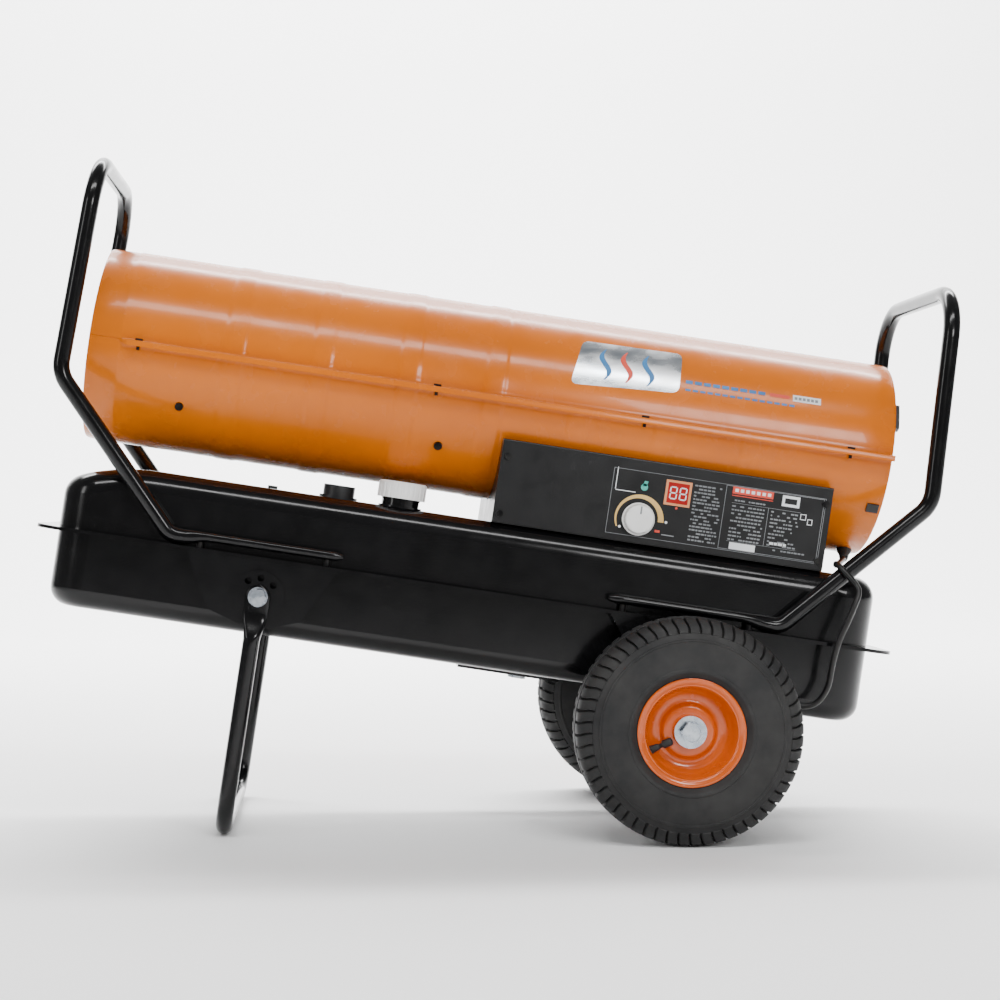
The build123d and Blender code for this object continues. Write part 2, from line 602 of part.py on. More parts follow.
def control_panel():
    """Near cover with a lip over the top edge."""
    panel = block(BOX_FRONT, BOX_REAR, -PANEL_FACE, -BOX_Y, TANK_TOP + 1.5, BOX_TOP)
    panel += block(BOX_FRONT, BOX_REAR, -PANEL_FACE, -LIP_EDGE, BOX_TOP, BOX_TOP + 2)
    outer_edge = [edge for edge in panel.edges().filter_by(Axis.X)
                  if abs(edge.center().Y + PANEL_FACE) < 0.1 and edge.center().Z > BOX_TOP]
    panel = fillet(outer_edge, 1.9)
    panel -= rod_y(-140, -120, KNOB_U, KNOB_W, 5)
    panel -= block(DISPLAY_U - 13, DISPLAY_U + 13, -140, -120, DISPLAY_W - 12.5, DISPLAY_W + 12.5)
    for u, w in panel_screw_places():
        panel -= rod_y(-140, -120, u, w, 2.2)
    return panel


def panel_screws():
    screws = []
    for u, w in panel_screw_places():
        screws.append(rod_y(-PANEL_FACE - 2.6, -PANEL_FACE, u, w, 4.2) + rod_y(-PANEL_FACE, -116, u, w, 2))
    return group(screws)


def control_knob():
    """Temperature knob with its stub shaft."""
    front = PANEL_FACE + 16
    knob = rod_y(-front + 3, -PANEL_FACE - 0.5, KNOB_U, KNOB_W, KNOB_R)
    knob += Pos(KNOB_U, -front + 3, KNOB_W) * Rot(90, 0, 0) * Cone(
        KNOB_R, KNOB_R - 2.5, 3, align=(Align.CENTER, Align.CENTER, Align.MIN))
    for turn in range(20):
        angle = math.radians(18 * turn)
        u, w = KNOB_U + 20.2 * math.cos(angle), KNOB_W + 20.2 * math.sin(angle)
        knob -= rod_y(-front - 1, -PANEL_FACE - 3, u, w, 1.6)
    return knob + rod_y(-PANEL_FACE - 0.5, -116, KNOB_U, KNOB_W, 3)


def thermostat_pot():
    pot = rod_y(-BOX_Y, -108, KNOB_U, KNOB_W, 11)
    return pot - rod_y(-PANEL_FACE, -115, KNOB_U, KNOB_W, 3 + RUNNING_FIT)


def display_module():
    module = block(DISPLAY_U - 15.5, DISPLAY_U + 15.5, -129, -PANEL_FACE, DISPLAY_W - 15, DISPLAY_W + 15)
    module += block(DISPLAY_U - 12.8, DISPLAY_U + 12.8, -PANEL_FACE, -114, DISPLAY_W - 12.3, DISPLAY_W + 12.3)
    return module - block(DISPLAY_U - 12, DISPLAY_U + 12, -130, -128.4, DISPLAY_W - 11.5, DISPLAY_W + 11.5)


def circuit_board():
    board = block(255, 365, -104, -102.4, 92, 152)
    board += block(265, 290, -102.4, -86, 97, 116) + block(300, 316, -102.4, -88, 100, 116)
    return board + block(330, 355, -102.4, -92, 96, 108) + block(262, 280, -102.4, -95, 128, 146)


def ignition_transformer():
    core = block(50, 128, 56, 116, TANK_TOP + 2, 118)
    return core + rod_x(128, 140, 70, 98, 7) + rod_x(128, 140, 102, 98, 7)


# Rear guard
def rear_guard():
    """Wire grille over the air intake."""
    guard = Pos(476, 0, BARREL_AXIS) * Rot(0, 90, 0) * Torus(114.5, 2.0)
    for radius in (92, 69, 46, 23):
        guard += Pos(476, 0, BARREL_AXIS) * Rot(0, 90, 0) * Torus(radius, 1.4)
    for turn in range(8):
        angle = math.radians(45 * turn + 22.5)
        inner = (476, 22 * math.cos(angle), BARREL_AXIS + 22 * math.sin(angle))
        outer = (476, 114 * math.cos(angle), BARREL_AXIS + 114 * math.sin(angle))
        guard += rod_between(inner, outer, 1.7)
    return guard


def shell_patch(u0, u1, r0, r1, angle, width):
    """A piece of a ring round the barrel, centred at an angle up from the near side."""
    ring = rod_x(u0, u1, 0, BARREL_AXIS, r1) - rod_x(u0 - 1, u1 + 1, 0, BARREL_AXIS, r0)
    cutter = block(u0 - 1, u1 + 1, -r1 - 5, -r0 / 2, -width / 2, width / 2)
    return ring & Pos(0, 0, BARREL_AXIS) * Rot(-angle, 0, 0) * cutter


def guard_clips():
    clips = []
    for angle in (-31.4, 211.4):
        clips.append(shell_patch(464, 478, BARREL_R, BARREL_R + 2.5, angle, 11))
    for angle, width in ((25, 32), (155, 32), (90, 26)):
        clips.append(shell_patch(BARREL_REAR, BARREL_REAR + 4, BARREL_R - 8, BARREL_R, angle, width))
    return group(clips)


# Power cord. The sleeve is in the chassis frame, the cord in the standing frame (z up from the floor).
def relief_line():
    """The sleeve's start on the barrel's skin, and the way that the cord leaves."""
    start = Vector(*RELIEF_START)
    return start, (Vector(*RELIEF_END) - start).normalized()


def strain_relief():
    """Grommet and tapered sleeve where the cord leaves the barrel's floor."""
    start, way = relief_line()
    outside = rod_between(start - way * 9, start + way * 9, 9) + rod_between(start, RELIEF_END, 7.4, 4.8)
    outside -= rod_x(400, 500, 0, BARREL_AXIS, BARREL_R + 0.05)
    sleeve = outside + rod_between(start - way * 9, start + way * 9, 6)
    return sleeve - rod_between(start - way * 12, start + way * 60, CORD_R)


def cord_path(route):
    """Straight runs joined by arcs, each as large as its two runs allow."""
    points = [Vector(*point) for point in route]
    runs = [after - before for before, after in zip(points, points[1:])]
    radii = []
    for before, after in zip(runs, runs[1:]):
        turn = math.radians(before.get_angle(after))
        radii.append(0.45 * min(before.length, after.length) / math.tan(turn / 2))
    return FilletPolyline(*route, radius=radii), [round(radius) for radius in radii]


def cord_tube(route):
    path, radii = cord_path(route)
    tube = sweep(Plane(origin=path @ 0, z_dir=path % 0) * Circle(CORD_R), path=path)
    ideal = math.pi * CORD_R ** 2 * path.length
    print("cord run", round(path.length), "radii", radii, "volume over ideal", round(tube.volume / ideal, 4))
    return tube


def power_cord():
    return group([cord_tube(CORD_ROUTE), cord_tube(CORD_TAIL)])


def cord_coil():
    """Outer shape of the cord's put-away turns."""
    ring = Cylinder(COIL_OUTER, COIL_HEIGHT) - Cylinder(COIL_INNER, COIL_HEIGHT + 2)
    return Pos(COIL_X, COIL_Y, COIL_LOW + COIL_HEIGHT / 2) * ring


def cord_tie():
    middle = (COIL_INNER + COIL_OUTER) / 2
    width = COIL_OUTER - COIL_INNER
    loop = Box(width + 2.4, 6, COIL_HEIGHT + 1.6) - Box(width + 0.4, 8, COIL_HEIGHT + 0.1)
    place = Pos(COIL_X, COIL_Y, COIL_LOW + COIL_HEIGHT / 2) * Rot(0, 0, 135) * Pos(middle, 0, 0)
    return place * loop


def power_plug():
    """Round two-pin plug lying on the floor, its pins away from the cord."""
    x, y, z = CORD_TAIL[-1]
    way = Vector(0, 1, 0)
    start = Vector(x, y, z)
    plug = rod_between(start, start + way * 18, 5.5, 8.5)
    plug += rod_between(start + way * 18, start + way * 36, 12, 18)
    plug += rod_between(start + way * 36, start + way * 46, 18)
    for offset in (-9.5, 9.5):
        pin = start + Vector(offset, 46, 0)
        plug += rod_between(pin, pin + way * 19, 2.4)
    return plug


NODES = {
    "tank_lower_shell": tank_lower_shell, "tank_upper_shell": tank_upper_shell, "drain_plug": drain_plug,
    "filler_neck": filler_neck, "filler_cap": filler_cap, "cap_gasket": cap_gasket,
    "fuel_gauge": fuel_gauge, "gauge_float": gauge_float, "tank_vent": tank_vent,
    "fuel_pickup": fuel_pickup, "fuel_line": fuel_line,
    "front_handle": lambda: handle(FRONT_BEND, -1), "rear_handle": lambda: handle(REAR_BEND, 1),
    "handle_bolts": handle_bolts, "handle_nuts": handle_nuts, "leg_brackets": leg_brackets,
    "leg_pivot_bolts": leg_pivot_bolts, "support_leg": support_leg, "axle_brackets": axle_brackets,
    "axle": axle, "axle_washers": axle_washers, "axle_nuts": axle_nuts,
    "barrel_upper_shell": barrel_upper_shell, "barrel_lower_shell": barrel_lower_shell,
    "barrel_screws": barrel_screws, "combustion_chamber": combustion_chamber,
    "chamber_supports": chamber_supports, "flame_baffle": flame_baffle, "burner_head": burner_head,
    "nozzle": nozzle, "igniter_electrodes": igniter_electrodes, "photocell": photocell,
    "fan_blade": fan_blade, "motor_shaft": motor_shaft, "motor_body": motor_body,
    "motor_bracket": motor_bracket, "air_pump": air_pump, "base_box": base_box,
    "control_panel": control_panel, "panel_screws": panel_screws, "control_knob": control_knob,
    "thermostat_pot": thermostat_pot, "display_module": display_module, "circuit_board": circuit_board,
    "ignition_transformer": ignition_transformer, "rear_guard": rear_guard, "guard_clips": guard_clips,
    "strain_relief": strain_relief,
}
CORD_NODES = {"power_cord": power_cord, "cord_coil": cord_coil, "cord_tie": cord_tie,
              "power_plug": power_plug}
for name, side in (("near", -1), ("far", 1)):
    NODES[name + "_tyre"] = lambda side=side: tyre(side)
    NODES[name + "_rim"] = lambda side=side: rim(side)
    NODES[name + "_wheel_bush"] = lambda side=side: wheel_bush(side)
    NODES[name + "_valve_stem"] = lambda side=side: valve_stem(side)


def stand_on_floor(raked):
    """The move that puts the object's box on z = 0 with its middle over the origin."""
    boxes = [shape.bounding_box() for shape in raked.values()]
    low = [min(box.min.X for box in boxes), min(box.min.Z for box in boxes)]
    high_x = max(box.max.X for box in boxes)
    print("chassis frame moved by", -(low[0] + high_x) / 2, -low[1])
    return Pos(-(low[0] + high_x) / 2, 0, -low[1])


def main():
    os.makedirs("parts", exist_ok=True)
    raked = {name: Rot(0, RAKE, 0) * make() for name, make in NODES.items()}
    shift = stand_on_floor(raked)
    standing = {name: shift * shape for name, shape in raked.items()}
    standing.update({name: make() for name, make in CORD_NODES.items()})
    for name, shape in standing.items():
        export_step(shape, "parts/" + name + ".step")


main()
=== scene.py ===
import json
import math
import random
import bpy
from mathutils import Matrix, Vector


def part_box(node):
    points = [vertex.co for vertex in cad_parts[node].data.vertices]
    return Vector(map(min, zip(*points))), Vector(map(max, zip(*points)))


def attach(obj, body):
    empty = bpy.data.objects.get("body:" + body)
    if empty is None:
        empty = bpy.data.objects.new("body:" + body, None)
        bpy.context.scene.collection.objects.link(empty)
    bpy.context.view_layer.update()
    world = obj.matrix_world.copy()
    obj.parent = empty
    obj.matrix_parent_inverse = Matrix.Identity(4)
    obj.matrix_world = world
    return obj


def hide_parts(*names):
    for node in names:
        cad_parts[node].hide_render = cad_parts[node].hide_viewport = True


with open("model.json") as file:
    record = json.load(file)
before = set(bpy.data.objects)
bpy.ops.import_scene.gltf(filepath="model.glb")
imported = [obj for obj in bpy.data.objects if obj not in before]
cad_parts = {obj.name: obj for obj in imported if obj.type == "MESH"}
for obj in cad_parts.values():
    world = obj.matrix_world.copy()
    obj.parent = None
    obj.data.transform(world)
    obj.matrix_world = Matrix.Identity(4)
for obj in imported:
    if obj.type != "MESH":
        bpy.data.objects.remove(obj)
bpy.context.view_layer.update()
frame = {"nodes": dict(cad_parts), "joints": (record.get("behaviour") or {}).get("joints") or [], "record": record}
random.seed(11)

# The chassis frame of the CAD model: u along the tank to the fan end, y across, w up from its seam.
# Chassis sizes are in millimetres, and PLACE turns them into metres in the frame.
JOINTS = {joint["name"]: joint for joint in frame["joints"]}
FAN_U, BARREL_AXIS = 206.0, 230.0
ALONG = Vector(JOINTS["fan_spin"]["axis"]).normalized()
UP = Vector((-ALONG.z, 0, ALONG.x))
SEAM = Vector(JOINTS["fan_spin"]["pos_m"]) - ALONG * FAN_U / 1000 - UP * BARREL_AXIS / 1000
PLACE = Matrix(((ALONG.x / 1000, 0, UP.x / 1000, SEAM.x), (0, 0.001, 0, 0),
                (ALONG.z / 1000, 0, UP.z / 1000, SEAM.z), (0, 0, 0, 1)))


def at(u, y, w):
    """A chassis point in millimetres as a point of the frame in metres."""
    return PLACE @ Vector((u, y, w))


# Camera, floor and light
def make_camera():
    data = bpy.data.cameras.new("camera")
    data.lens = 70.36
    data.sensor_width = 36.0
    data.shift_x = 0.115
    data.shift_y = -0.0023
    camera = bpy.data.objects.new("camera", data)
    camera.location = (SEAM.x - 0.1339, -2.4387, SEAM.z + 0.0983)
    camera.rotation_euler = (math.radians(90.23), 0, math.radians(-0.972))
    bpy.context.scene.collection.objects.link(camera)
    bpy.context.scene.camera = camera


def make_floor():
    """A pale floor that curves up into a backdrop behind the object."""
    points = [(-7.0, 0.0), (3.0, 0.0)]
    for step in range(1, 13):
        turn = math.radians(90 * step / 12)
        points.append((3.0 + 2.0 * math.sin(turn), 2.0 - 2.0 * math.cos(turn)))
    points.append((5.0, 7.0))
    mesh = bpy.data.meshes.new("floor")
    vertices = [(x, y, z) for y, z in points for x in (-9.0, 9.0)]
    faces = [(2 * i, 2 * i + 1, 2 * i + 3, 2 * i + 2) for i in range(len(points) - 1)]
    mesh.from_pydata(vertices, [], faces)
    floor = bpy.data.objects.new("floor", mesh)
    bpy.context.scene.collection.objects.link(floor)
    for face in mesh.polygons:
        face.use_smooth = True
    paint = bpy.data.materials.new("floor_paint")
    paint.use_nodes = True
    shader = paint.node_tree.nodes["Principled BSDF"]
    shader.inputs["Base Color"].default_value = (0.95, 0.95, 0.95, 1)
    shader.inputs["Roughness"].default_value = 0.9
    shader.inputs["Specular IOR Level"].default_value = 0.1
    mesh.materials.append(paint)


def area_light(name, place, target, size, power):
    data = bpy.data.lights.new(name, "AREA")
    data.shape = "RECTANGLE"
    data.size, data.size_y = size
    data.energy = power
    light = bpy.data.objects.new(name, data)
    light.location = place
    light.rotation_mode = "QUATERNION"
    light.rotation_quaternion = (Vector(target) - Vector(place)).to_track_quat("-Z", "Y")
    bpy.context.scene.collection.objects.link(light)


def make_lights():
    world = bpy.data.worlds.new("studio")
    bpy.context.scene.world = world
    world.use_nodes = True
    world.node_tree.nodes["Background"].inputs["Color"].default_value = (1, 1, 1, 1)
    world.node_tree.nodes["Background"].inputs["Strength"].default_value = 0.25
    area_light("top_light", (0.0, -2.1, 3.1), (0, -0.05, 0.45), (3.0, 0.45), 75)
    area_light("right_soft_box", (0.95, -2.5, 1.3), (0.3, 0, 0.4), (0.7, 0.5), 22)
    area_light("floor_light", (0.0, 2.4, 3.8), (0.0, 1.9, 0.0), (6.0, 2.0), 260)
    area_light("left_soft_box", (-2.6, -1.8, 1.4), (-0.3, 0, 0.4), (0.5, 1.4), 16)
    area_light("backdrop_light", (0, 2.4, 4.4), (0, 5.0, 1.2), (6.0, 1.5), 900)


# Materials
def new_material(name, rough=0.4, metal=0.0, coat=0.0, coat_rough=0.05, specular=0.5):
    made = bpy.data.materials.new(name)
    made.use_nodes = True
    shader = made.node_tree.nodes["Principled BSDF"]
    shader.inputs["Roughness"].default_value = rough
    shader.inputs["Metallic"].default_value = metal
    shader.inputs["Coat Weight"].default_value = coat
    shader.inputs["Coat Roughness"].default_value = coat_rough
    shader.inputs["Specular IOR Level"].default_value = specular
    return made, shader


def noise(made, scale, detail=4.0, stretch=(1, 1, 1)):
    """A noise node on the piece's own coordinates."""
    nodes, links = made.node_tree.nodes, made.node_tree.links
    place = nodes.new("ShaderNodeTexCoord")
    shape = nodes.new("ShaderNodeMapping")
    shape.inputs["Scale"].default_value = stretch
    grain = nodes.new("ShaderNodeTexNoise")
    grain.inputs["Scale"].default_value = scale
    grain.inputs["Detail"].default_value = detail
    links.new(place.outputs["Object"], shape.inputs["Vector"])
    links.new(shape.outputs["Vector"], grain.inputs["Vector"])
    return grain


def colour_between(made, shader, grain, dark, light, low=0.35, high=0.65):
    ramp = made.node_tree.nodes.new("ShaderNodeValToRGB")
    ramp.color_ramp.elements[0].position = low
    ramp.color_ramp.elements[0].color = (*dark, 1)
    ramp.color_ramp.elements[1].position = high
    ramp.color_ramp.elements[1].color = (*light, 1)
    made.node_tree.links.new(grain.outputs["Fac"], ramp.inputs["Fac"])
    made.node_tree.links.new(ramp.outputs["Color"], shader.inputs["Base Color"])
    return ramp


def rough_between(made, shader, grain, low, high):
    spread = made.node_tree.nodes.new("ShaderNodeMapRange")
    spread.inputs["From Min"].default_value = 0.3
    spread.inputs["From Max"].default_value = 0.7
    spread.inputs["To Min"].default_value = low
    spread.inputs["To Max"].default_value = high
    made.node_tree.links.new(grain.outputs["Fac"], spread.inputs["Value"])
    made.node_tree.links.new(spread.outputs["Result"], shader.inputs["Roughness"])


def bump(made, shader, grain, strength, distance):
    relief = made.node_tree.nodes.new("ShaderNodeBump")
    relief.inputs["Strength"].default_value = strength
    relief.inputs["Distance"].default_value = distance
    made.node_tree.links.new(grain.outputs["Fac"], relief.inputs["Height"])
    made.node_tree.links.new(relief.outputs["Normal"], shader.inputs["Normal"])


def paint(name, dark, light, rough=(0.12, 0.22), peel=0.12, coat=0.6, specular=0.5):
    """Stoved gloss paint: broad soft colour drift, fine orange peel and faint dulling."""
    made, shader = new_material(name, coat=coat, coat_rough=0.05, specular=specular)
    colour_between(made, shader, noise(made, 5.0, 3.0), dark, light)
    rough_between(made, shader, noise(made, 38.0, 6.0), *rough)
    bump(made, shader, noise(made, 420.0, 2.0), peel, 0.0004)
    return made


def metal(name, dark, light, rough=(0.22, 0.38), scale=60.0, stretch=(1, 1, 1)):
    made, shader = new_material(name, metal=1.0)
    grain = noise(made, scale, 5.0, stretch)
    colour_between(made, shader, grain, dark, light)
    rough_between(made, shader, grain, *rough)
    bump(made, shader, noise(made, scale * 6, 2.0, stretch), 0.08, 0.0002)
    return made


def moulded(name, dark, light, rough=(0.35, 0.5), grain_scale=900.0, depth=0.1, specular=0.5):
    made, shader = new_material(name, specular=specular)
    colour_between(made, shader, noise(made, 18.0, 4.0), dark, light)
    rough_between(made, shader, noise(made, 60.0, 4.0), *rough)
    bump(made, shader, noise(made, grain_scale, 3.0), depth, 0.0003)
    return made


def make_materials():
    return {
        "tank_black": paint("tank_black", (0.0018, 0.0018, 0.002), (0.0035, 0.0035, 0.004),
                            (0.12, 0.22), 0.08, 0.12, 0.25),
        "frame_black": paint("frame_black", (0.002, 0.002, 0.0023), (0.004, 0.004, 0.0045),
                             (0.14, 0.24), 0.06, 0.12, 0.25),
        "shell_orange": paint("shell_orange", (0.55, 0.122, 0.0001), (0.62, 0.144, 0.0002),
                              (0.2, 0.3), 0.05, 0.15, 0.25),
        "rim_orange": paint("rim_orange", (0.50, 0.072, 0.0003), (0.58, 0.09, 0.0006),
                            (0.18, 0.28), 0.06, 0.35, 0.4),
        "box_black": paint("box_black", (0.003, 0.003, 0.0035), (0.006, 0.006, 0.0065),
                           (0.3, 0.42), 0.2, 0.1, 0.35),
        "tyre_rubber": moulded("tyre_rubber", (0.012, 0.012, 0.0125), (0.024, 0.0235, 0.023),
                               (0.55, 0.75), 500.0, 0.25, 0.35),
        "rubber": moulded("rubber", (0.006, 0.006, 0.006), (0.012, 0.012, 0.012), (0.45, 0.6)),
        "cord_pvc": moulded("cord_pvc", (0.004, 0.004, 0.004), (0.009, 0.009, 0.009),
                            (0.32, 0.45), 300.0, 0.06, 0.4),
        "white_plastic": moulded("white_plastic", (0.78, 0.78, 0.76), (0.86, 0.86, 0.85),
                                 (0.3, 0.42), 700.0, 0.06),
        "black_plastic": moulded("black_plastic", (0.006, 0.006, 0.007), (0.012, 0.012, 0.013),
                                 (0.35, 0.5)),
        "display_plastic": moulded("display_plastic", (0.62, 0.24, 0.10), (0.70, 0.30, 0.14),
                                   (0.25, 0.35)),
        "board_green": moulded("board_green", (0.012, 0.10, 0.04), (0.02, 0.16, 0.07), (0.3, 0.4)),
        "fuel_hose": moulded("fuel_hose", (0.42, 0.36, 0.22), (0.58, 0.52, 0.36), (0.2, 0.3)),
        "ceramic": moulded("ceramic", (0.80, 0.78, 0.73), (0.88, 0.87, 0.83), (0.12, 0.2)),
        "zinc": metal("zinc", (0.34, 0.38, 0.43), (0.60, 0.64, 0.68), (0.2, 0.36), 90.0),
        "black_steel": metal("black_steel", (0.012, 0.012, 0.013), (0.035, 0.034, 0.033),
                             (0.3, 0.5), 120.0),
        "hot_steel": metal("hot_steel", (0.30, 0.24, 0.19), (0.50, 0.47, 0.44), (0.3, 0.5), 14.0),
        "galvanised": metal("galvanised", (0.38, 0.39, 0.40), (0.60, 0.61, 0.62), (0.3, 0.5), 45.0),
        "brass": metal("brass", (0.55, 0.38, 0.14), (0.78, 0.58, 0.26), (0.2, 0.34), 70.0),
        "cast_alloy": metal("cast_alloy", (0.42, 0.42, 0.43), (0.60, 0.60, 0.61), (0.4, 0.6), 160.0),
        "motor_grey": paint("motor_grey", (0.10, 0.11, 0.12), (0.17, 0.18, 0.19),
                            (0.35, 0.5), 0.2, 0.1),
        # Finishes of printed and stuck-on pieces
        "print_grey": moulded("print_grey", (0.16, 0.17, 0.18), (0.24, 0.25, 0.26), (0.4, 0.5)),
        "print_white": moulded("print_white", (0.70, 0.72, 0.73), (0.80, 0.82, 0.83), (0.4, 0.5)),
        "print_red": moulded("print_red", (0.62, 0.045, 0.02), (0.72, 0.06, 0.03), (0.4, 0.5)),
        "print_gold": moulded("print_gold", (0.62, 0.38, 0.10), (0.74, 0.48, 0.16), (0.4, 0.5)),
        "print_teal": moulded("print_teal", (0.03, 0.32, 0.26), (0.05, 0.40, 0.33), (0.4, 0.5)),
        "print_blue": moulded("print_blue", (0.02, 0.14, 0.36), (0.03, 0.20, 0.46), (0.4, 0.5)),
        "foil": metal("foil", (0.62, 0.68, 0.74), (0.86, 0.88, 0.90), (0.18, 0.34), 26.0, (1, 1, 3)),
        "lens_red": moulded("lens_red", (0.30, 0.01, 0.01), (0.42, 0.02, 0.015), (0.08, 0.14)),
    }


def finish_cad_nodes():
    """Every CAD node takes the material of its record slot."""
    slots = {part["node"]: part["material_slot"] for part in frame["record"]["subparts"]}
    for name, node in frame["nodes"].items():
        node.data.materials.clear()
        node.data.materials.append(MATERIALS[slots[name]])


# Mesh tools
def piece(name, vertices, faces, material, body="chassis", slot=None, replaced=(), sharp=32.0):
    """A mesh piece from points in metres, with smooth faces and sharp edges above an angle."""
    mesh = bpy.data.meshes.new(name)
    mesh.from_pydata([tuple(v) for v in vertices], [], faces)
    mesh.validate()
    mesh.update()
    for face in mesh.polygons:
        face.use_smooth = True
    mesh.set_sharp_from_angle(angle=math.radians(sharp))
    mesh.materials.append(MATERIALS[material])
    made = bpy.data.objects.new(name, mesh)
    bpy.context.scene.collection.objects.link(made)
    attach(made, body)
    if replaced:
        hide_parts(*replaced)
    return made


def grid_faces(rows, columns, close_rows, close_columns, start=0, flip=False):
    """Four-sided faces over a grid of points, joined at its ends where a way is closed."""
    faces = []
    for row in range(rows if close_rows else rows - 1):
        for column in range(columns if close_columns else columns - 1):
            below, beside = (row + 1) % rows, (column + 1) % columns
            face = [start + row * columns + column, start + row * columns + beside,
                    start + below * columns + beside, start + below * columns + column]
            faces.append(face[::-1] if flip else face)
    return faces


def smooth_line(points, per):
    """Points on a Catmull-Rom curve through the given ones."""
    points = [Vector(point) for point in points]
    count = len(points)
    out = []
    for i in range(count - 1):
        p1, p2 = points[i], points[i + 1]
        p0 = points[i - 1] if i else p1 * 2 - p2
        p3 = points[i + 2] if i + 2 < count else p2 * 2 - p1
        for step in range(per):
            t = step / per
            out.append(0.5 * (2 * p1 + (p2 - p0) * t + (2 * p0 - 5 * p1 + 4 * p2 - p3) * t ** 2
                              + (3 * p1 - p0 - 3 * p2 + p3) * t ** 3))
    out.append(points[-1])
    return out


def turned(profile, start, way, steps=72):
    """Closed solid of revolution: profile of (radius, along) in mm about a chassis axis."""
    way = Vector(way).normalized()
    side = way.orthogonal().normalized()
    other = way.cross(side)
    vertices = []
    for step in range(steps):
        angle = 2 * math.pi * step / steps
        out = side * math.cos(angle) + other * math.sin(angle)
        for radius, along in profile:
            vertices.append(at(*(Vector(start) + way * along + out * radius)))
    return vertices, grid_faces(steps, len(profile), True, True, flip=True)


def joined(parts):
    """Several (vertices, faces) as one."""
    vertices, faces = [], []
    for points, polygons in parts:
        shift = len(vertices)
        vertices += points
        faces += [[index + shift for index in polygon] for polygon in polygons]
    return vertices, faces


def round_line(points, radii, spacing=4.0):
    """A polyline with round corners, as points close together in the bends."""
    points = [Vector(point) for point in points]
    out = [points[0]]
    for before, corner, after, radius in zip(points, points[1:], points[2:], radii):
        inward, outward = (before - corner).normalized(), (after - corner).normalized()
        opening = inward.angle(outward)
        reach = radius / math.tan(opening / 2)
        centre = corner + (inward + outward).normalized() * radius / math.sin(opening / 2)
        first, last = corner + inward * reach - centre, corner + outward * reach - centre
        turn = math.pi - opening
        steps = max(3, round(radius * turn / spacing))
        for step in range(steps + 1):
            t = step / steps
            out.append(centre + (first * math.sin((1 - t) * turn) + last * math.sin(t * turn))
                       / math.sin(turn))
    out.append(points[-1])
    return out


FLAT_POWER = 0.72    # squares the corners of a flattened tube


def swept(line, section, first_side, sides):
    """A closed tube along a line. section(distance, length) gives half width, half height and offset."""
    vertices = []
    side = Vector(first_side)
    travelled = 0.0
    length = sum((b - a).length for a, b in zip(line, line[1:]))
    previous = None
    for i, point in enumerate(line):
        if i:
            travelled += (point - line[i - 1]).length
        ahead = line[min(i + 1, len(line) - 1)] - line[max(i - 1, 0)]
        ahead.normalize()
        if previous is not None:
            side = previous.rotation_difference(ahead) @ side
        previous = ahead
        side = (side - ahead * side.dot(ahead)).normalized()
        over = ahead.cross(side)
        wide, high, offset = section(travelled, length)
        for step in range(sides):
            angle = 2 * math.pi * step / sides
            c, s = math.cos(angle), math.sin(angle)
            square = FLAT_POWER if abs(wide - high) > 1 else 1.0
            out = side * math.copysign(abs(c) ** square, c) * wide
            out += over * math.copysign(abs(s) ** square, s) * high
            vertices.append(at(*(point + over * offset + out)))
    faces = grid_faces(len(line), sides, False, True)
    faces.append(list(range(sides)))
    faces.append([len(vertices) - 1 - step for step in range(sides)])
    return vertices, faces


def dense(line, spacing):
    """The same line with more points on its long runs."""
    out = [line[0]]
    for start, end in zip(line, line[1:]):
        steps = max(1, math.ceil((end - start).length / spacing))
        out += [start.lerp(end, (step + 1) / steps) for step in range(steps)]
    return out


def ease(value, low, high):
    """A smooth step from 0 at low to 1 at high."""
    t = min(1.0, max(0.0, (value - low) / (high - low)))
    return t * t * (3 - 2 * t)


# Power cord: the route's points as in the CAD model, in metres
CORD_DIAMETER = 0.007
CORD_ROUTE = [
    (0.4256, -0.058, 0.3215), (0.3973, -0.137, 0.3142), (0.3934, -0.1485, 0.3188),
    (0.395, -0.161, 0.3151),
    (0.402, -0.167, 0.3058), (0.411, -0.171, 0.2955), (0.415, -0.176, 0.286), (0.408, -0.180, 0.271),
    (0.4013, -0.180, 0.2538), (0.3897, -0.180, 0.2307), (0.382, -0.178, 0.2017), (0.378, -0.176, 0.172),
    (0.360, -0.172, 0.150), (0.332, -0.163, 0.156), (0.300, -0.151, 0.164), (0.266, -0.149, 0.158),
    (0.232, -0.149, 0.150), (0.188, -0.148, 0.148), (0.158, -0.146, 0.133), (0.135, -0.140, 0.108),
    (0.124, -0.131, 0.078), (0.128, -0.121, 0.046), (0.145, -0.112, 0.018), (0.167, -0.106, 0.005),
    (0.192, -0.1035, 0.0049)]
CORD_TAIL = [(0.2677, -0.036, 0.012), (0.267, -0.020, 0.0183), (0.267, -0.004, 0.0183)]


def coil_points():
    """Three and a quarter neat turns inside the CAD coil, from the side nearest the camera."""
    low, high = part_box("cord_coil")
    centre = (low + high) / 2
    points = []
    per_turn = 14
    radii = (0.0375, 0.0457, 0.0415, 0.0415)
    heights = (0.0048, 0.0048, 0.0122, 0.0122)
    steps = int(3.25 * per_turn)
    for step in range(steps + 1):
        turn = step / per_turn
        part = min(int(turn), 3)
        eased = min(1.0, (turn - part) * 2.5)
        before = max(part - 1, 0)
        radius = radii[before] + (radii[part] - radii[before]) * eased
        height = heights[before] + (heights[part] - heights[before]) * eased
        angle = math.radians(-90) + 2 * math.pi * turn
        points.append((centre.x + radius * math.cos(angle), centre.y + radius * math.sin(angle), height))
    return points


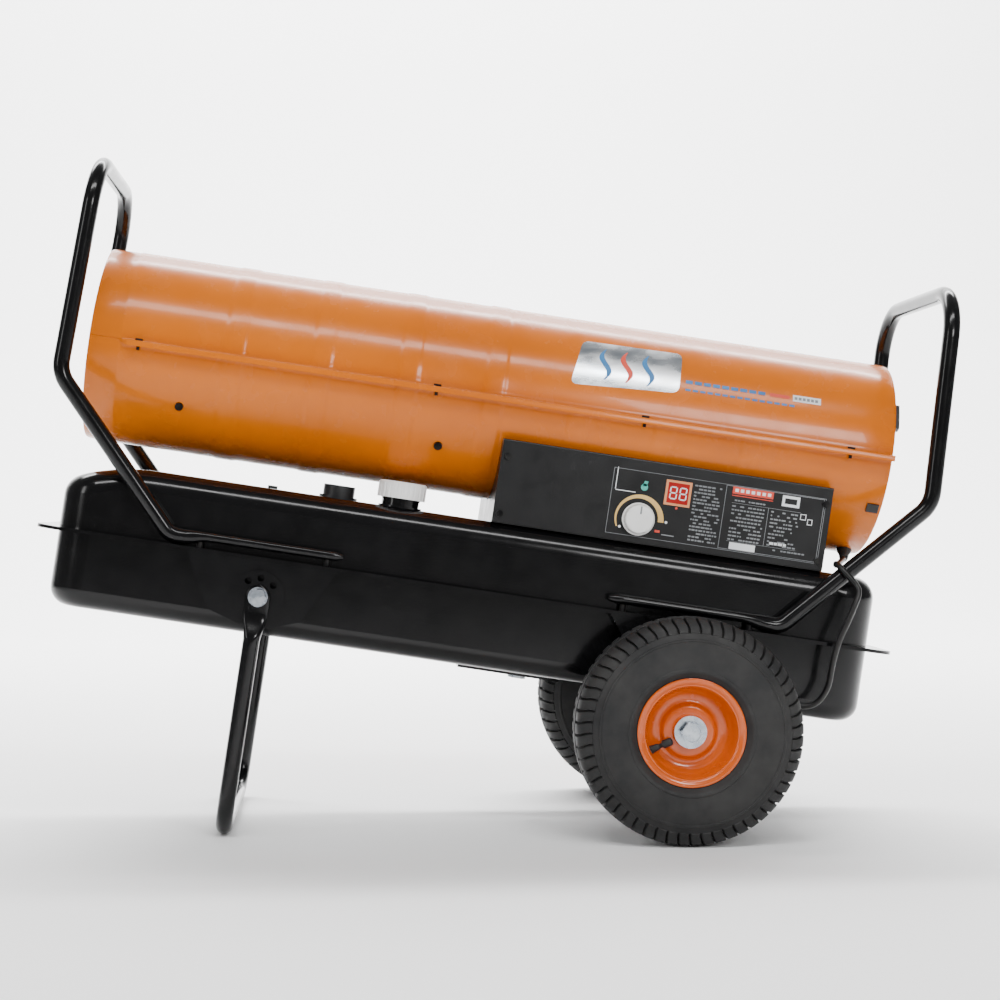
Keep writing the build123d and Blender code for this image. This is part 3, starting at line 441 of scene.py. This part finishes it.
def make_cord():
    points = CORD_ROUTE + coil_points() + CORD_TAIL
    data = bpy.data.curves.new("power_cord_flex", "CURVE")
    data.dimensions = "3D"
    data.bevel_depth = CORD_DIAMETER / 2
    data.bevel_resolution = 6
    data.resolution_u = 8
    line = data.splines.new("NURBS")
    line.points.add(len(points) - 1)
    for spot, point in zip(line.points, points):
        spot.co = (*point, 1)
    line.order_u = 3
    line.use_endpoint_u = True
    flex = bpy.data.objects.new("power_cord_flex", data)
    bpy.context.scene.collection.objects.link(flex)
    data.materials.append(MATERIALS["cord_pvc"])
    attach(flex, "chassis")
    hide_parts("power_cord", "cord_coil")
    return flex


# Wheels
AXLE_U, AXLE_W, WHEEL_Y, WHEEL_R = 270.0, -119.0, 210.0, 130.0
LUGS = 57
LUG_STEPS = (0.0, 0.05, 0.25, 0.30, 0.50, 0.55, 0.75, 0.80)
LUG_RAISED = ((1, 1, 1, 1, 1, 1, 1, 0), (1, 1, 1, 0, 0, 1, 1, 1))
# Half cross-section from the bead out to the tread: radius, distance from the middle, groove depth
TYRE_HALF = [(58.0, 24.0, 0), (61.0, 30.0, 0), (63.2, 33.2, 0), (66.0, 35.2, 0), (67.6, 37.4, 0),
             (69.6, 38.6, 0), (71.6, 38.8, 0), (73.2, 38.0, 0), (78.0, 38.7, 0), (86.0, 39.4, 0),
             (94.0, 39.7, 0), (101.0, 39.5, 0), (103.0, 39.2, 0), (103.8, 40.0, 0), (105.6, 40.0, 0),
             (106.4, 38.9, 0), (110.5, 37.6, 0), (112.5, 36.8, 0), (113.6, 37.4, 2.6), (118.0, 35.8, 3.6),
             (122.5, 33.0, 4.2), (126.2, 28.8, 4.6), (128.4, 24.0, 4.6), (129.3, 18.0, 4.4),
             (129.6, 11.5, 4.2)]
CROWN = [(125.6, 10.0, 0), (125.6, 7.2, 0), (129.8, 5.6, 0), (WHEEL_R, 0.0, 0)]
TYRE_INSIDE = [(60.0, 20.0, 0), (68.0, 28.0, 0), (90.0, 32.0, 0), (112.0, 28.0, 0), (121.0, 18.0, 0)]
LUG_LEAN = 0.25                           # of a lug's pitch, from the shoulder's foot to the tread
SHOULDER_MIDDLE, SHOULDER_SQUASH = 92, 1.15


def tyre(name, side, body):
    """A tyre whose shoulder lugs are cut by leaning grooves, half a pitch apart on its two sides."""
    half = TYRE_HALF + CROWN
    around = half + [(r, -s, d) for r, s, d in reversed(half[:-1])]
    section = around + [(r, -s, d) for r, s, d in TYRE_INSIDE] + TYRE_INSIDE[::-1]
    count = len(section)
    vertices = []
    for lug in range(LUGS):
        for step, share in enumerate(LUG_STEPS):
            for index, (radius, along, depth) in enumerate(section):
                raised = LUG_RAISED[0 if along > 0 else 1][step]
                lean = LUG_LEAN * ease(radius, 118, 129) if depth else 0.0
                angle = 2 * math.pi * (lug + share + math.copysign(lean, along)) / LUGS
                drop = 0 if raised else depth
                slope = math.atan2(abs(along), (radius - SHOULDER_MIDDLE) * SHOULDER_SQUASH)
                r = radius - drop * math.cos(slope)
                s = along - math.copysign(drop * math.sin(slope), along)
                vertices.append(at(AXLE_U + r * math.cos(angle), side * (WHEEL_Y + s),
                                   AXLE_W + r * math.sin(angle)))
    faces = grid_faces(LUGS * len(LUG_STEPS), count, True, True, flip=side < 0)
    return piece(name + "_tread", vertices, faces, "tyre_rubber", body, None, (name,), 26.0)


# Radius and distance from the wheel's middle: the outer lip, the dish and the hub, then back behind
RIM_FACE = [(61.2, 31.6), (61.9, 32.8), (60.9, 33.4), (58.0, 33.2), (54.6, 31.6), (52.0, 28.0),
            (50.2, 22.5), (48.4, 16.5), (45.4, 11.6), (41.0, 8.6), (36.0, 7.6), (32.4, 8.6),
            (30.2, 11.4), (27.6, 13.4), (22.0, 13.8), (19.2, 14.0), (18.6, 16.0), (18.6, 21.4)]
RIM_BACK = [(15.2, 22), (15.2, -22), (19, -22), (19, 7), (29, 7), (33, 1), (44, 1), (47.6, -2),
            (49.5, -27), (54, -33), (61.5, -33.5), (61.5, -31.4), (53, -31.2), (53, 31.2)]


def rim(name, side, body):
    face = smooth_line([(r, s, 0) for r, s in RIM_FACE], 4)
    profile = [(point.x, point.y) for point in face] + RIM_BACK
    vertices, faces = turned(profile, (AXLE_U, side * WHEEL_Y, AXLE_W), (0, side, 0), 96)
    return piece(name + "_pressed", vertices, faces, "rim_orange", body, None, (name,), 40.0)


def valve_stem(name, side, body):
    """Moulded stem with a collar, a thread and a thick cap at the hub end."""
    angle = math.radians(214)
    reach = Vector((math.cos(angle), 0, math.sin(angle)))
    start = Vector((AXLE_U, side * (WHEEL_Y + 15.0), AXLE_W)) + reach * 49.0
    end = Vector((AXLE_U, side * (WHEEL_Y + 23.0), AXLE_W)) + reach * 21.0
    profile = [(0.01, -1), (5.6, -1), (5.6, 1.2), (4.4, 2.4), (4.0, 9), (3.2, 11), (2.6, 11.5)]
    for ring in range(3):
        profile += [(2.6, 11.6 + ring), (3.0, 11.9 + ring), (2.6, 12.2 + ring)]
    profile += [(2.6, 15.2), (4.4, 15.4), (4.7, 16.2), (4.7, 24.5), (4.1, 26.3), (2.6, 27.2), (0.01, 27.4)]
    vertices, faces = turned(profile, start, end - start, 24)
    return piece(name + "_capped", vertices, faces, "rubber", body, None, (name,))


def make_wheels():
    for word, side in (("near", -1), ("far", 1)):
        body = word + "_wheel"
        tyre(word + "_tyre", side, body)
        rim(word + "_rim", side, body)
        valve_stem(word + "_valve_stem", side, body)


# Handles and leg
SHEET, TUBE_R, HANDLE_Y, HANDLE_TOP = 2.0, 9.75, 150.0, 435.0
HANDLE_FOOT, HANDLE_REACH, HANDLE_RISE, HANDLE_LEAN, TOP_BEND = 204.0, 156.0, 180.0, 8.0, 58.0
FOOT_HEIGHT, FOOT_HALF = 12.0, (11.0, 5.9)    # the handle's flattened foot: half width, half height
LEG_U, LEG_PIVOT, LEG_BAR, LEG_Y = -239.0, -44.0, -317.5, 171.5
LEG_EYE, LEG_HALF, LEG_INSET = 14.4, 2.95, 4.2    # its flattened end: radius, half thickness, set in


def handle(name, bend, way):
    """A bent tube with flattened feet, way -1 at the outlet end."""
    rest = SHEET + TUBE_R + 0.05
    reach = bend + way * HANDLE_REACH
    top = reach - way * HANDLE_LEAN
    half = [(bend - way * HANDLE_FOOT, rest), (bend, rest), (reach, HANDLE_RISE), (top, HANDLE_TOP)]
    near = [(u, -HANDLE_Y, w) for u, w in half]
    far = [(u, HANDLE_Y, w) for u, w in reversed(half)]
    line = dense(round_line(near + far, (22, 38, TOP_BEND, TOP_BEND, 38, 22)), 9.0)

    def section(travelled, length):
        from_end = min(travelled, length - travelled)
        t = ease(from_end, HANDLE_FOOT - 46, HANDLE_FOOT - 12)
        tip = math.sqrt(max(0.0, 1 - (1 - min(1.0, from_end / 4.0)) ** 2))
        wide, high = (half_size + (TUBE_R - half_size) * t for half_size in FOOT_HALF)
        offset = (SHEET + FOOT_HEIGHT / 2 - rest) * (1 - t)
        return max(0.4, wide * (0.75 + 0.25 * tip)), max(0.4, high * (0.6 + 0.4 * tip)), offset

    first_side = Vector((0, 1, 0)) if way < 0 else Vector((0, -1, 0))
    vertices, faces = swept(line, section, first_side, 32)
    return piece(name + "_tube", vertices, faces, "frame_black", "chassis", None, (name,), 50.0)


def leg():
    """A U tube whose flattened, rounded ends hang on the pivot bolts."""
    near = [(LEG_U, -LEG_Y, LEG_PIVOT + LEG_EYE), (LEG_U, -LEG_Y, LEG_BAR)]
    far = [(LEG_U, LEG_Y, LEG_BAR), (LEG_U, LEG_Y, LEG_PIVOT + LEG_EYE)]
    line = dense(round_line(near + far, (40, 40)), 4.0)

    def section(travelled, length):
        from_end = min(travelled, length - travelled)
        t = ease(from_end, 34, 66)
        round_end = LEG_EYE * math.sqrt(max(0.0, 1 - (1 - min(1.0, from_end / LEG_EYE)) ** 2))
        wide = max(1.5, round_end) + (TUBE_R - LEG_EYE) * t
        high = LEG_HALF + (TUBE_R - LEG_HALF) * t
        return wide, high, -LEG_INSET * (1 - t)

    vertices, faces = swept(line, section, (1, 0, 0), 32)
    return piece("support_leg_tube", vertices, faces, "frame_black", "leg", None, ("support_leg",), 50.0)


# Barrel shells
BARREL_FRONT, BARREL_REAR, BARREL_R, COLLAR, COLLAR_R = -485.0, 482.0, 119.0, 36.0, 118.3
BEADS_BOTH, BEADS_LOWER = (-312.5, -208.0, -103.5, 0.0), (104.0, 208.0, 313.0)
BEAD_WIDTH, BEAD_FLAT, BEAD = 31.0, 8.5, 1.0      # width, half its flat top, height
LEDGE_Y, LIP_DROP, LEDGE_START = 131.0, 5.0, 11.0 # reach, lip, length of its slanted start


def barrel_stations(beads):
    """Places along the barrel that the shells' sections are made at."""
    ledge = BARREL_FRONT + COLLAR
    places = {BARREL_FRONT, BARREL_FRONT + 1.2, BARREL_FRONT + 3, ledge - 2, ledge, ledge + 3, ledge + 7,
              ledge + LEDGE_START, BARREL_REAR - 3, BARREL_REAR - 1.2, BARREL_REAR}
    for middle in beads:
        for reach in (BEAD_WIDTH / 2, 14.2, 13.0, 11.6, 10.2, BEAD_FLAT, 4.0):
            places |= {middle - reach, middle + reach}
    for step in range(1, 24):
        place = BARREL_FRONT + (BARREL_REAR - BARREL_FRONT) * step / 24
        if all(abs(place - other) > 9 for other in places):
            places.add(place)
    return sorted(places)


def barrel_radius(u, beads):
    """The outside radius, drawn in at the collar and the rolled ends and raised at the beads."""
    radius = BARREL_R
    if u < BARREL_FRONT + COLLAR - 1:
        radius = COLLAR_R - 0.9 * (1 - ease(u, BARREL_FRONT, BARREL_FRONT + 3))
    if u > BARREL_REAR - 3:
        radius -= 0.8 * ease(u, BARREL_REAR - 3, BARREL_REAR)
    for middle in beads:
        radius += BEAD * (1 - ease(abs(u - middle), BEAD_FLAT, BEAD_WIDTH / 2))
    return radius


def shell(name, beads, upper):
    """Half of the barrel's wall with its ledges, lofted along the barrel."""
    way = 1 if upper else -1
    steps = 72
    rows = barrel_stations(beads)
    inner_r = BARREL_R - SHEET
    vertices = []
    for u in rows:
        out = barrel_radius(u, beads)
        start = BARREL_FRONT + COLLAR
        wide = ease(u, start - 0.5, start + LEDGE_START)
        edge = (LEDGE_Y if upper else LEDGE_Y - 2.2)
        loop = []
        for step in range(steps + 1):
            angle = math.pi * step / steps
            loop.append((-inner_r * math.cos(angle), way * inner_r * math.sin(angle)))
        reach = out - 0.3 + (edge - out + 0.3) * wide
        root = min(out + 1.6 * wide, reach)
        if upper:
            ledge = [(reach - 1.6 * wide - 0.1, 0.02), (reach - 1.6 * wide - 0.08, -LIP_DROP * wide),
                     (reach, -LIP_DROP * wide), (reach, 1.1), (reach - 0.3, 1.65), (reach - 0.9, 2.0),
                     (root, 2.0), (min(out + 0.5, reach), 2.5)]
        else:
            ledge = [(reach, -0.02), (reach, -1.9), (root, -2.0), (min(out + 0.5, reach), -2.5)]
        lift = math.asin(3.4 / out)
        arc = []
        for step in range(steps + 1):
            angle = lift + (math.pi - 2 * lift) * step / steps
            arc.append((out * math.cos(angle), way * out * math.sin(angle)))
        loop += ledge + arc + [(-y, w) for y, w in reversed(ledge)]
        for y, w in loop:
            vertices.append(at(u, y, BARREL_AXIS + w))
    count = len(vertices) // len(rows)
    faces = grid_faces(len(rows), count, False, True, flip=not upper)
    inner = steps + 1
    ledge_count = len(ledge)
    for row, turn in ((0, False), (len(rows) - 1, True)):
        base = row * count
        inner_ids = [base + i for i in range(inner)]
        arc_ids = [base + inner + ledge_count + i for i in range(steps + 1)][::-1]
        for i in range(steps):
            face = [inner_ids[i], inner_ids[i + 1], arc_ids[i + 1], arc_ids[i]]
            faces.append(face if (turn == upper) else face[::-1])
        far_ids = [inner_ids[-1]] + [base + inner + i for i in range(ledge_count)] + [arc_ids[-1]]
        near_ids = [arc_ids[0]] + [base + inner + ledge_count + steps + 1 + i for i in range(ledge_count)]
        near_ids += [inner_ids[0]]
        for ids in (far_ids, near_ids):
            faces.append(ids if (turn == upper) else ids[::-1])
    return piece(name + "_pressed", vertices, faces, "shell_orange", "chassis", None, (name,), 38.0)


# Prints, knob, display, stickers and strain relief
PANEL_FACE = 128.0
PRINT_BACK, PRINT_FRONT = PANEL_FACE - 0.3, PANEL_FACE + 0.35


def slab(u0, u1, w0, w1, front, back, skew=0.0):
    """A flat block on the panel, between two distances from the middle plane."""
    corners = [(u0, w0), (u1, w0), (u1 + skew, w1), (u0 + skew, w1)]
    vertices = [at(u, -back, w) for u, w in corners] + [at(u, -front, w) for u, w in corners]
    faces = [[0, 1, 2, 3], [7, 6, 5, 4], [0, 4, 5, 1], [1, 5, 6, 2], [2, 6, 7, 3], [3, 7, 4, 0]]
    return vertices, faces


def bars(rows, front=PRINT_FRONT, back=PRINT_BACK):
    return [slab(u0, u1, w0, w1, front, back) for u0, u1, w0, w1 in rows]


def frame_rows(u0, u1, w0, w1, thick):
    """The four bars of an outline."""
    return [(u0, u1, w0, w0 + thick), (u0, u1, w1 - thick, w1), (u0, u0 + thick, w0 + thick, w1 - thick),
            (u1 - thick, u1, w0 + thick, w1 - thick)]


def word_rows(u0, u1, w, height, chance=0.82):
    """Short bars in a row, as unreadable small print."""
    rows = []
    u = u0
    while u < u1 - 2:
        width = random.uniform(1.6, 5.2)
        if random.random() < chance:
            rows.append((u, min(u + width, u1), w, w + height))
        u += width + random.uniform(0.7, 1.3)
    return rows


def strip_faces(steps):
    """Faces of a closed strip whose sections have four points: inner and outer, at back and front."""
    faces = []
    for step in range(steps):
        a, b = 4 * step, 4 * step + 4
        for i, j in ((0, 1), (1, 3), (3, 2), (2, 0)):
            faces.append([a + i, a + j, b + j, b + i])
    return faces + [[0, 2, 3, 1], [4 * steps + 1, 4 * steps + 3, 4 * steps + 2, 4 * steps]]


def ring_part(u, w, start, end, thin, thick, radius, steps=30):
    """A curved band on the panel that grows from thin to thick."""
    vertices = []
    for step in range(steps + 1):
        t = step / steps
        angle = math.radians(start + (end - start) * t)
        half = (thin + (thick - thin) * t) / 2
        for reach in (radius - half, radius + half):
            for y in (PRINT_BACK, PRINT_FRONT):
                vertices.append(at(u + reach * math.cos(angle), -y, w + reach * math.sin(angle)))
    return vertices, strip_faces(steps)


def disc(u, w, radius, steps=24):
    vertices = [at(u + radius * math.cos(2 * math.pi * k / steps), -y,
                   w + radius * math.sin(2 * math.pi * k / steps))
                for y in (PRINT_BACK, PRINT_FRONT) for k in range(steps)]
    faces = [[k, (k + 1) % steps, steps + (k + 1) % steps, steps + k] for k in range(steps)]
    faces += [list(range(steps))[::-1], [steps + k for k in range(steps)]]
    return vertices, faces


def panel_piece(name, parts, finish):
    return piece(name, *joined(parts), finish, "chassis", "box_black")


def panel_print():
    """Lines, bars and dots that stand for the panel's labels, with nothing to read."""
    grey = frame_rows(154, 409, 91, 169, 0.5) + frame_rows(289, 407, 92.5, 168, 0.6)
    for row in range(17):
        w = 96 + row * 4.05
        grey += word_rows(252, 286 - (6 if row % 5 == 4 else 0), w, 1.9)
    for row in range(10):
        w = 104 + row * 4.4
        grey += word_rows(299, 338, w, 1.8, 0.9) + word_rows(346, 380, w, 1.8, 0.6)
    grey += [(298, 381, 102.4, 102.8), (298, 381, 148, 148.4), (342, 342.5, 102.8, 148)]
    grey += word_rows(301, 339, 150.5, 1.8) + word_rows(354, 392, 98.6, 1.8)
    grey += [(220.6, 235.4, 97.4, 98.6)]
    white = [(158.1, 159.0, 143.7, 170.0), (159.0, 182.8, 142.6, 143.5)]
    white += frame_rows(357, 378, 153, 166, 3.2) + [(302, 333, 93.5, 101.5)]
    white += word_rows(349, 369, 105.6, 3.0, 0.9)
    white += frame_rows(381, 388, 140, 147, 0.8) + frame_rows(390, 396, 135, 142, 0.8)
    red = [(297, 346, 159, 167.5), (297, 346, 156.4, 157.4), (212, 218, 99.6, 102.4)]
    panel_piece("panel_print_grey", bars(grey), "print_grey")
    dots = [disc(169.9, 100.3, 1.6), disc(223.9, 113, 1.6)]
    panel_piece("panel_print_white", bars(white) + dots, "print_white")
    panel_piece("panel_print_red", bars(red) + [disc(233.6, 131.4, 1.5)], "print_red")
    windows = [(300 + 6.5 * k, 304 + 6.5 * k, 161.4, 165.2) for k in range(7)]
    panel_piece("panel_print_light", bars(windows, PANEL_FACE + 0.5, PANEL_FACE + 0.2), "print_white")
    arc = [ring_part(KNOB_U, KNOB_W, 206, 0, 1.6, 7.0, 27.0)]
    panel_piece("panel_print_scale", arc, "print_gold")
    drop = [disc(192.6, 150.5, 4.2), slab(190.4, 194.8, 152, 158, PRINT_FRONT, PRINT_BACK, 1.6)]
    panel_piece("panel_print_icon", drop, "print_teal")


KNOB_U, KNOB_W = 190.6, 112.0
DISPLAY_U, DISPLAY_W = 233.0, 149.0
# The knob's section: radius, distance from the panel, share of the flutes' depth
KNOB_ROWS = [(17.2, 0.6, 0), (19.4, 0.9, 0), (19.5, 2.2, 0), (18.9, 3.0, 0), (18.2, 3.4, 1), (17.9, 6, 1),
             (17.6, 10, 1), (17.2, 13.4, 1), (16.4, 15.0, 0.6), (14.6, 15.8, 0.1), (10, 16.0, 0),
             (0.01, 16.0, 0), (0.01, 0.6, 0)]
FLUTES, FLUTE_DEPTH = 20, 0.45


def knob():
    """Smooth round knob: a skirt, finger flutes and a domed face."""
    steps = 160
    vertices = []
    for step in range(steps):
        angle = 2 * math.pi * step / steps
        for radius, along, flute in KNOB_ROWS:
            r = radius - flute * FLUTE_DEPTH * (0.5 - 0.5 * math.cos(FLUTES * angle)) ** 2
            vertices.append(at(KNOB_U + r * math.cos(angle), -PANEL_FACE - along,
                               KNOB_W + r * math.sin(angle)))
    faces = grid_faces(steps, len(KNOB_ROWS), True, True)
    piece("control_knob_cap", vertices, faces, "white_plastic", "knob", None, ("control_knob",), 40.0)
    mark = slab(KNOB_U - 0.9, KNOB_U + 0.9, KNOB_W + 6, KNOB_W + 15, PANEL_FACE + 16.25, PANEL_FACE + 15.7)
    piece("control_knob_mark", *mark, "print_grey", "knob", "white_plastic")


# A digit's seven segments, from its middle
SEGMENTS = [(-3, 3, 6.2, 7.6), (-3, 3, -0.7, 0.7), (-3, 3, -7.6, -6.2), (-4.4, -3, 0.9, 6.6),
            (3, 4.4, 0.9, 6.6), (-4.4, -3, -6.6, -0.9), (3, 4.4, -6.6, -0.9)]


def display():
    window = slab(DISPLAY_U - 12.6, DISPLAY_U + 12.6, DISPLAY_W - 12.2, DISPLAY_W + 12.2, 129.15, 128.6)
    piece("display_window", *window, "lens_red", "chassis", "display_plastic")
    lit = []
    for middle in (-5.8, 5.8):
        for u0, u1, w0, w1 in SEGMENTS:
            u = DISPLAY_U + middle
            lit.append(slab(u + u0, u + u1, DISPLAY_W + w0, DISPLAY_W + w1, 129.4, 129.0, 0.35))
    piece("display_digits", *joined(lit), "print_white", "chassis", "display_plastic")


def on_barrel(u, w, lift):
    """A point on the barrel's near side at a height above the seam's plane."""
    radius = BARREL_R + lift
    high = (w - BARREL_AXIS)
    return at(u, -math.sqrt(max(0.0, radius ** 2 - high ** 2)), w)


def barrel_patch(name, corners, material, lift=0.35, thick=0.3, round_by=0.05, round_share=0.16):
    """A sheet with round corners stuck on the upper shell inside four corners of (u, w)."""
    (u0, w0), (u1, w1), (u2, w2), (u3, w3) = corners
    points = []
    columns, rows = 30, 30
    for row in range(rows + 1):
        t = row / rows
        for column in range(columns + 1):
            s = column / columns
            left = (u0 + (u3 - u0) * t, w0 + (w3 - w0) * t)
            right = (u1 + (u2 - u1) * t, w1 + (w2 - w1) * t)
            edge = min(1.0, min(t, 1 - t) / round_share)
            inset = round_by * (1 - math.sqrt(max(0.0, 1 - (1 - edge) ** 2)))
            s = inset + (1 - 2 * inset) * s
            points.append((left[0] + (right[0] - left[0]) * s, left[1] + (right[1] - left[1]) * s))
    vertices = [on_barrel(u, w, rise) for rise in (lift, lift - thick) for u, w in points]
    total = len(points)
    faces = grid_faces(rows + 1, columns + 1, False, False)
    faces += grid_faces(rows + 1, columns + 1, False, False, start=total, flip=True)
    rim_ids = list(range(columns + 1))
    rim_ids += [r * (columns + 1) + columns for r in range(1, rows + 1)]
    rim_ids += [rows * (columns + 1) + c for c in range(columns - 1, -1, -1)]
    rim_ids += [r * (columns + 1) for r in range(rows - 1, 0, -1)]
    for a, b in zip(rim_ids, rim_ids[1:] + rim_ids[:1]):
        faces.append([b, a, a + total, b + total])
    return piece(name, vertices, faces, material, "chassis", "shell_orange")


def barrel_bars(name, rows, material, lift=0.5):
    """Bars on the upper shell, each from u0 to u1 and w0 to w1."""
    parts = []
    for u0, u1, w0, w1 in rows:
        count = max(2, int((w1 - w0) / 2) + 1)
        vertices = []
        for step in range(count + 1):
            w = w0 + (w1 - w0) * step / count
            for u in (u0, u1):
                for rise in (lift, lift - 0.3):
                    vertices.append(on_barrel(u, w, rise))
        parts.append((vertices, strip_faces(count)))
    return piece(name, *joined(parts), material, "chassis", "shell_orange")


def heat_wave(name, middle, finish, steps=26):
    """A rising S-shaped stroke on the sticker, thin at both ends."""
    vertices = []
    for step in range(steps + 1):
        t = step / steps
        w = 271 + 38 * t
        u = middle + 5.0 * math.sin(2 * math.pi * t)
        half = 3.4 * math.sin(math.pi * min(1.0, max(0.06, t))) + 0.5
        for reach in (-half, half):
            for rise in (0.55, 0.25):
                vertices.append(on_barrel(u + reach, w, rise))
    return piece(name, vertices, strip_faces(steps), finish, "chassis", "shell_orange")


def stickers():
    """A foil sticker with three heat waves, and a strip of plain bars beside it."""
    barrel_patch("shell_sticker", [(99, 316), (221, 318), (218, 268), (88, 260)], "foil")
    heat_wave("sticker_wave_left", 128, "print_blue")
    heat_wave("sticker_wave_middle", 154, "print_red")
    heat_wave("sticker_wave_right", 180, "print_blue")
    upper_row = [(226 + 11 * k, 226 + 11 * k + 8.4, 281.5, 285.5) for k in range(9)]
    lower_row = [(226 + 9 * k, 226 + 9 * k + 6.4, 272.5, 275) for k in range(15)]
    barrel_bars("shell_strip_dark", upper_row + lower_row, "print_blue")
    barrel_bars("shell_strip_red", [(328, 352, 281.5, 285.5)], "print_red")
    barrel_bars("shell_strip_white", [(356, 390, 279.5, 287.5)], "print_white")
    marks = [(358 + 5 * k, 361.4 + 5 * k, 281.8, 285.2) for k in range(6)]
    barrel_bars("shell_strip_marks", marks, "print_grey", 0.7)


def strain_relief():
    """A grommet and a ribbed sleeve that tapers down to the cord."""
    start, end = Vector((463, -30, 115)), Vector((457, -58, 103))
    way = (end - start).normalized()
    length = (end - start).length
    profile = [(3.7, -9), (8.8, -9), (8.8, -7.5), (6.1, -7), (6.1, -1), (8.8, -0.5), (9.0, 2.2), (8.2, 4.4)]
    ribs = 6
    for rib in range(ribs):
        along = 6 + rib * (length - 8) / ribs
        radius = 7.4 - (7.4 - 4.9) * along / length
        profile += [(radius, along), (radius, along + 1.9)]
        profile += [(radius - 1.2, along + 2.3), (radius - 1.2, along + 3.6)]
    profile += [(4.8, length - 0.6), (4.2, length), (3.7, length)]
    vertices, faces = turned(profile, start, way, 40)
    return piece("strain_relief_sleeve", vertices, faces, "rubber", replaced=("strain_relief",), sharp=30.0)


make_camera()
make_floor()
make_lights()
MATERIALS = make_materials()
finish_cad_nodes()
flex = make_cord()
strain_relief()
make_wheels()
handle("front_handle", -352.0, -1)
handle("rear_handle", 371.0, 1)
leg()
shell("barrel_upper_shell", BEADS_BOTH, True)
shell("barrel_lower_shell", BEADS_BOTH + BEADS_LOWER, False)
panel_print()
knob()
display()
stickers()
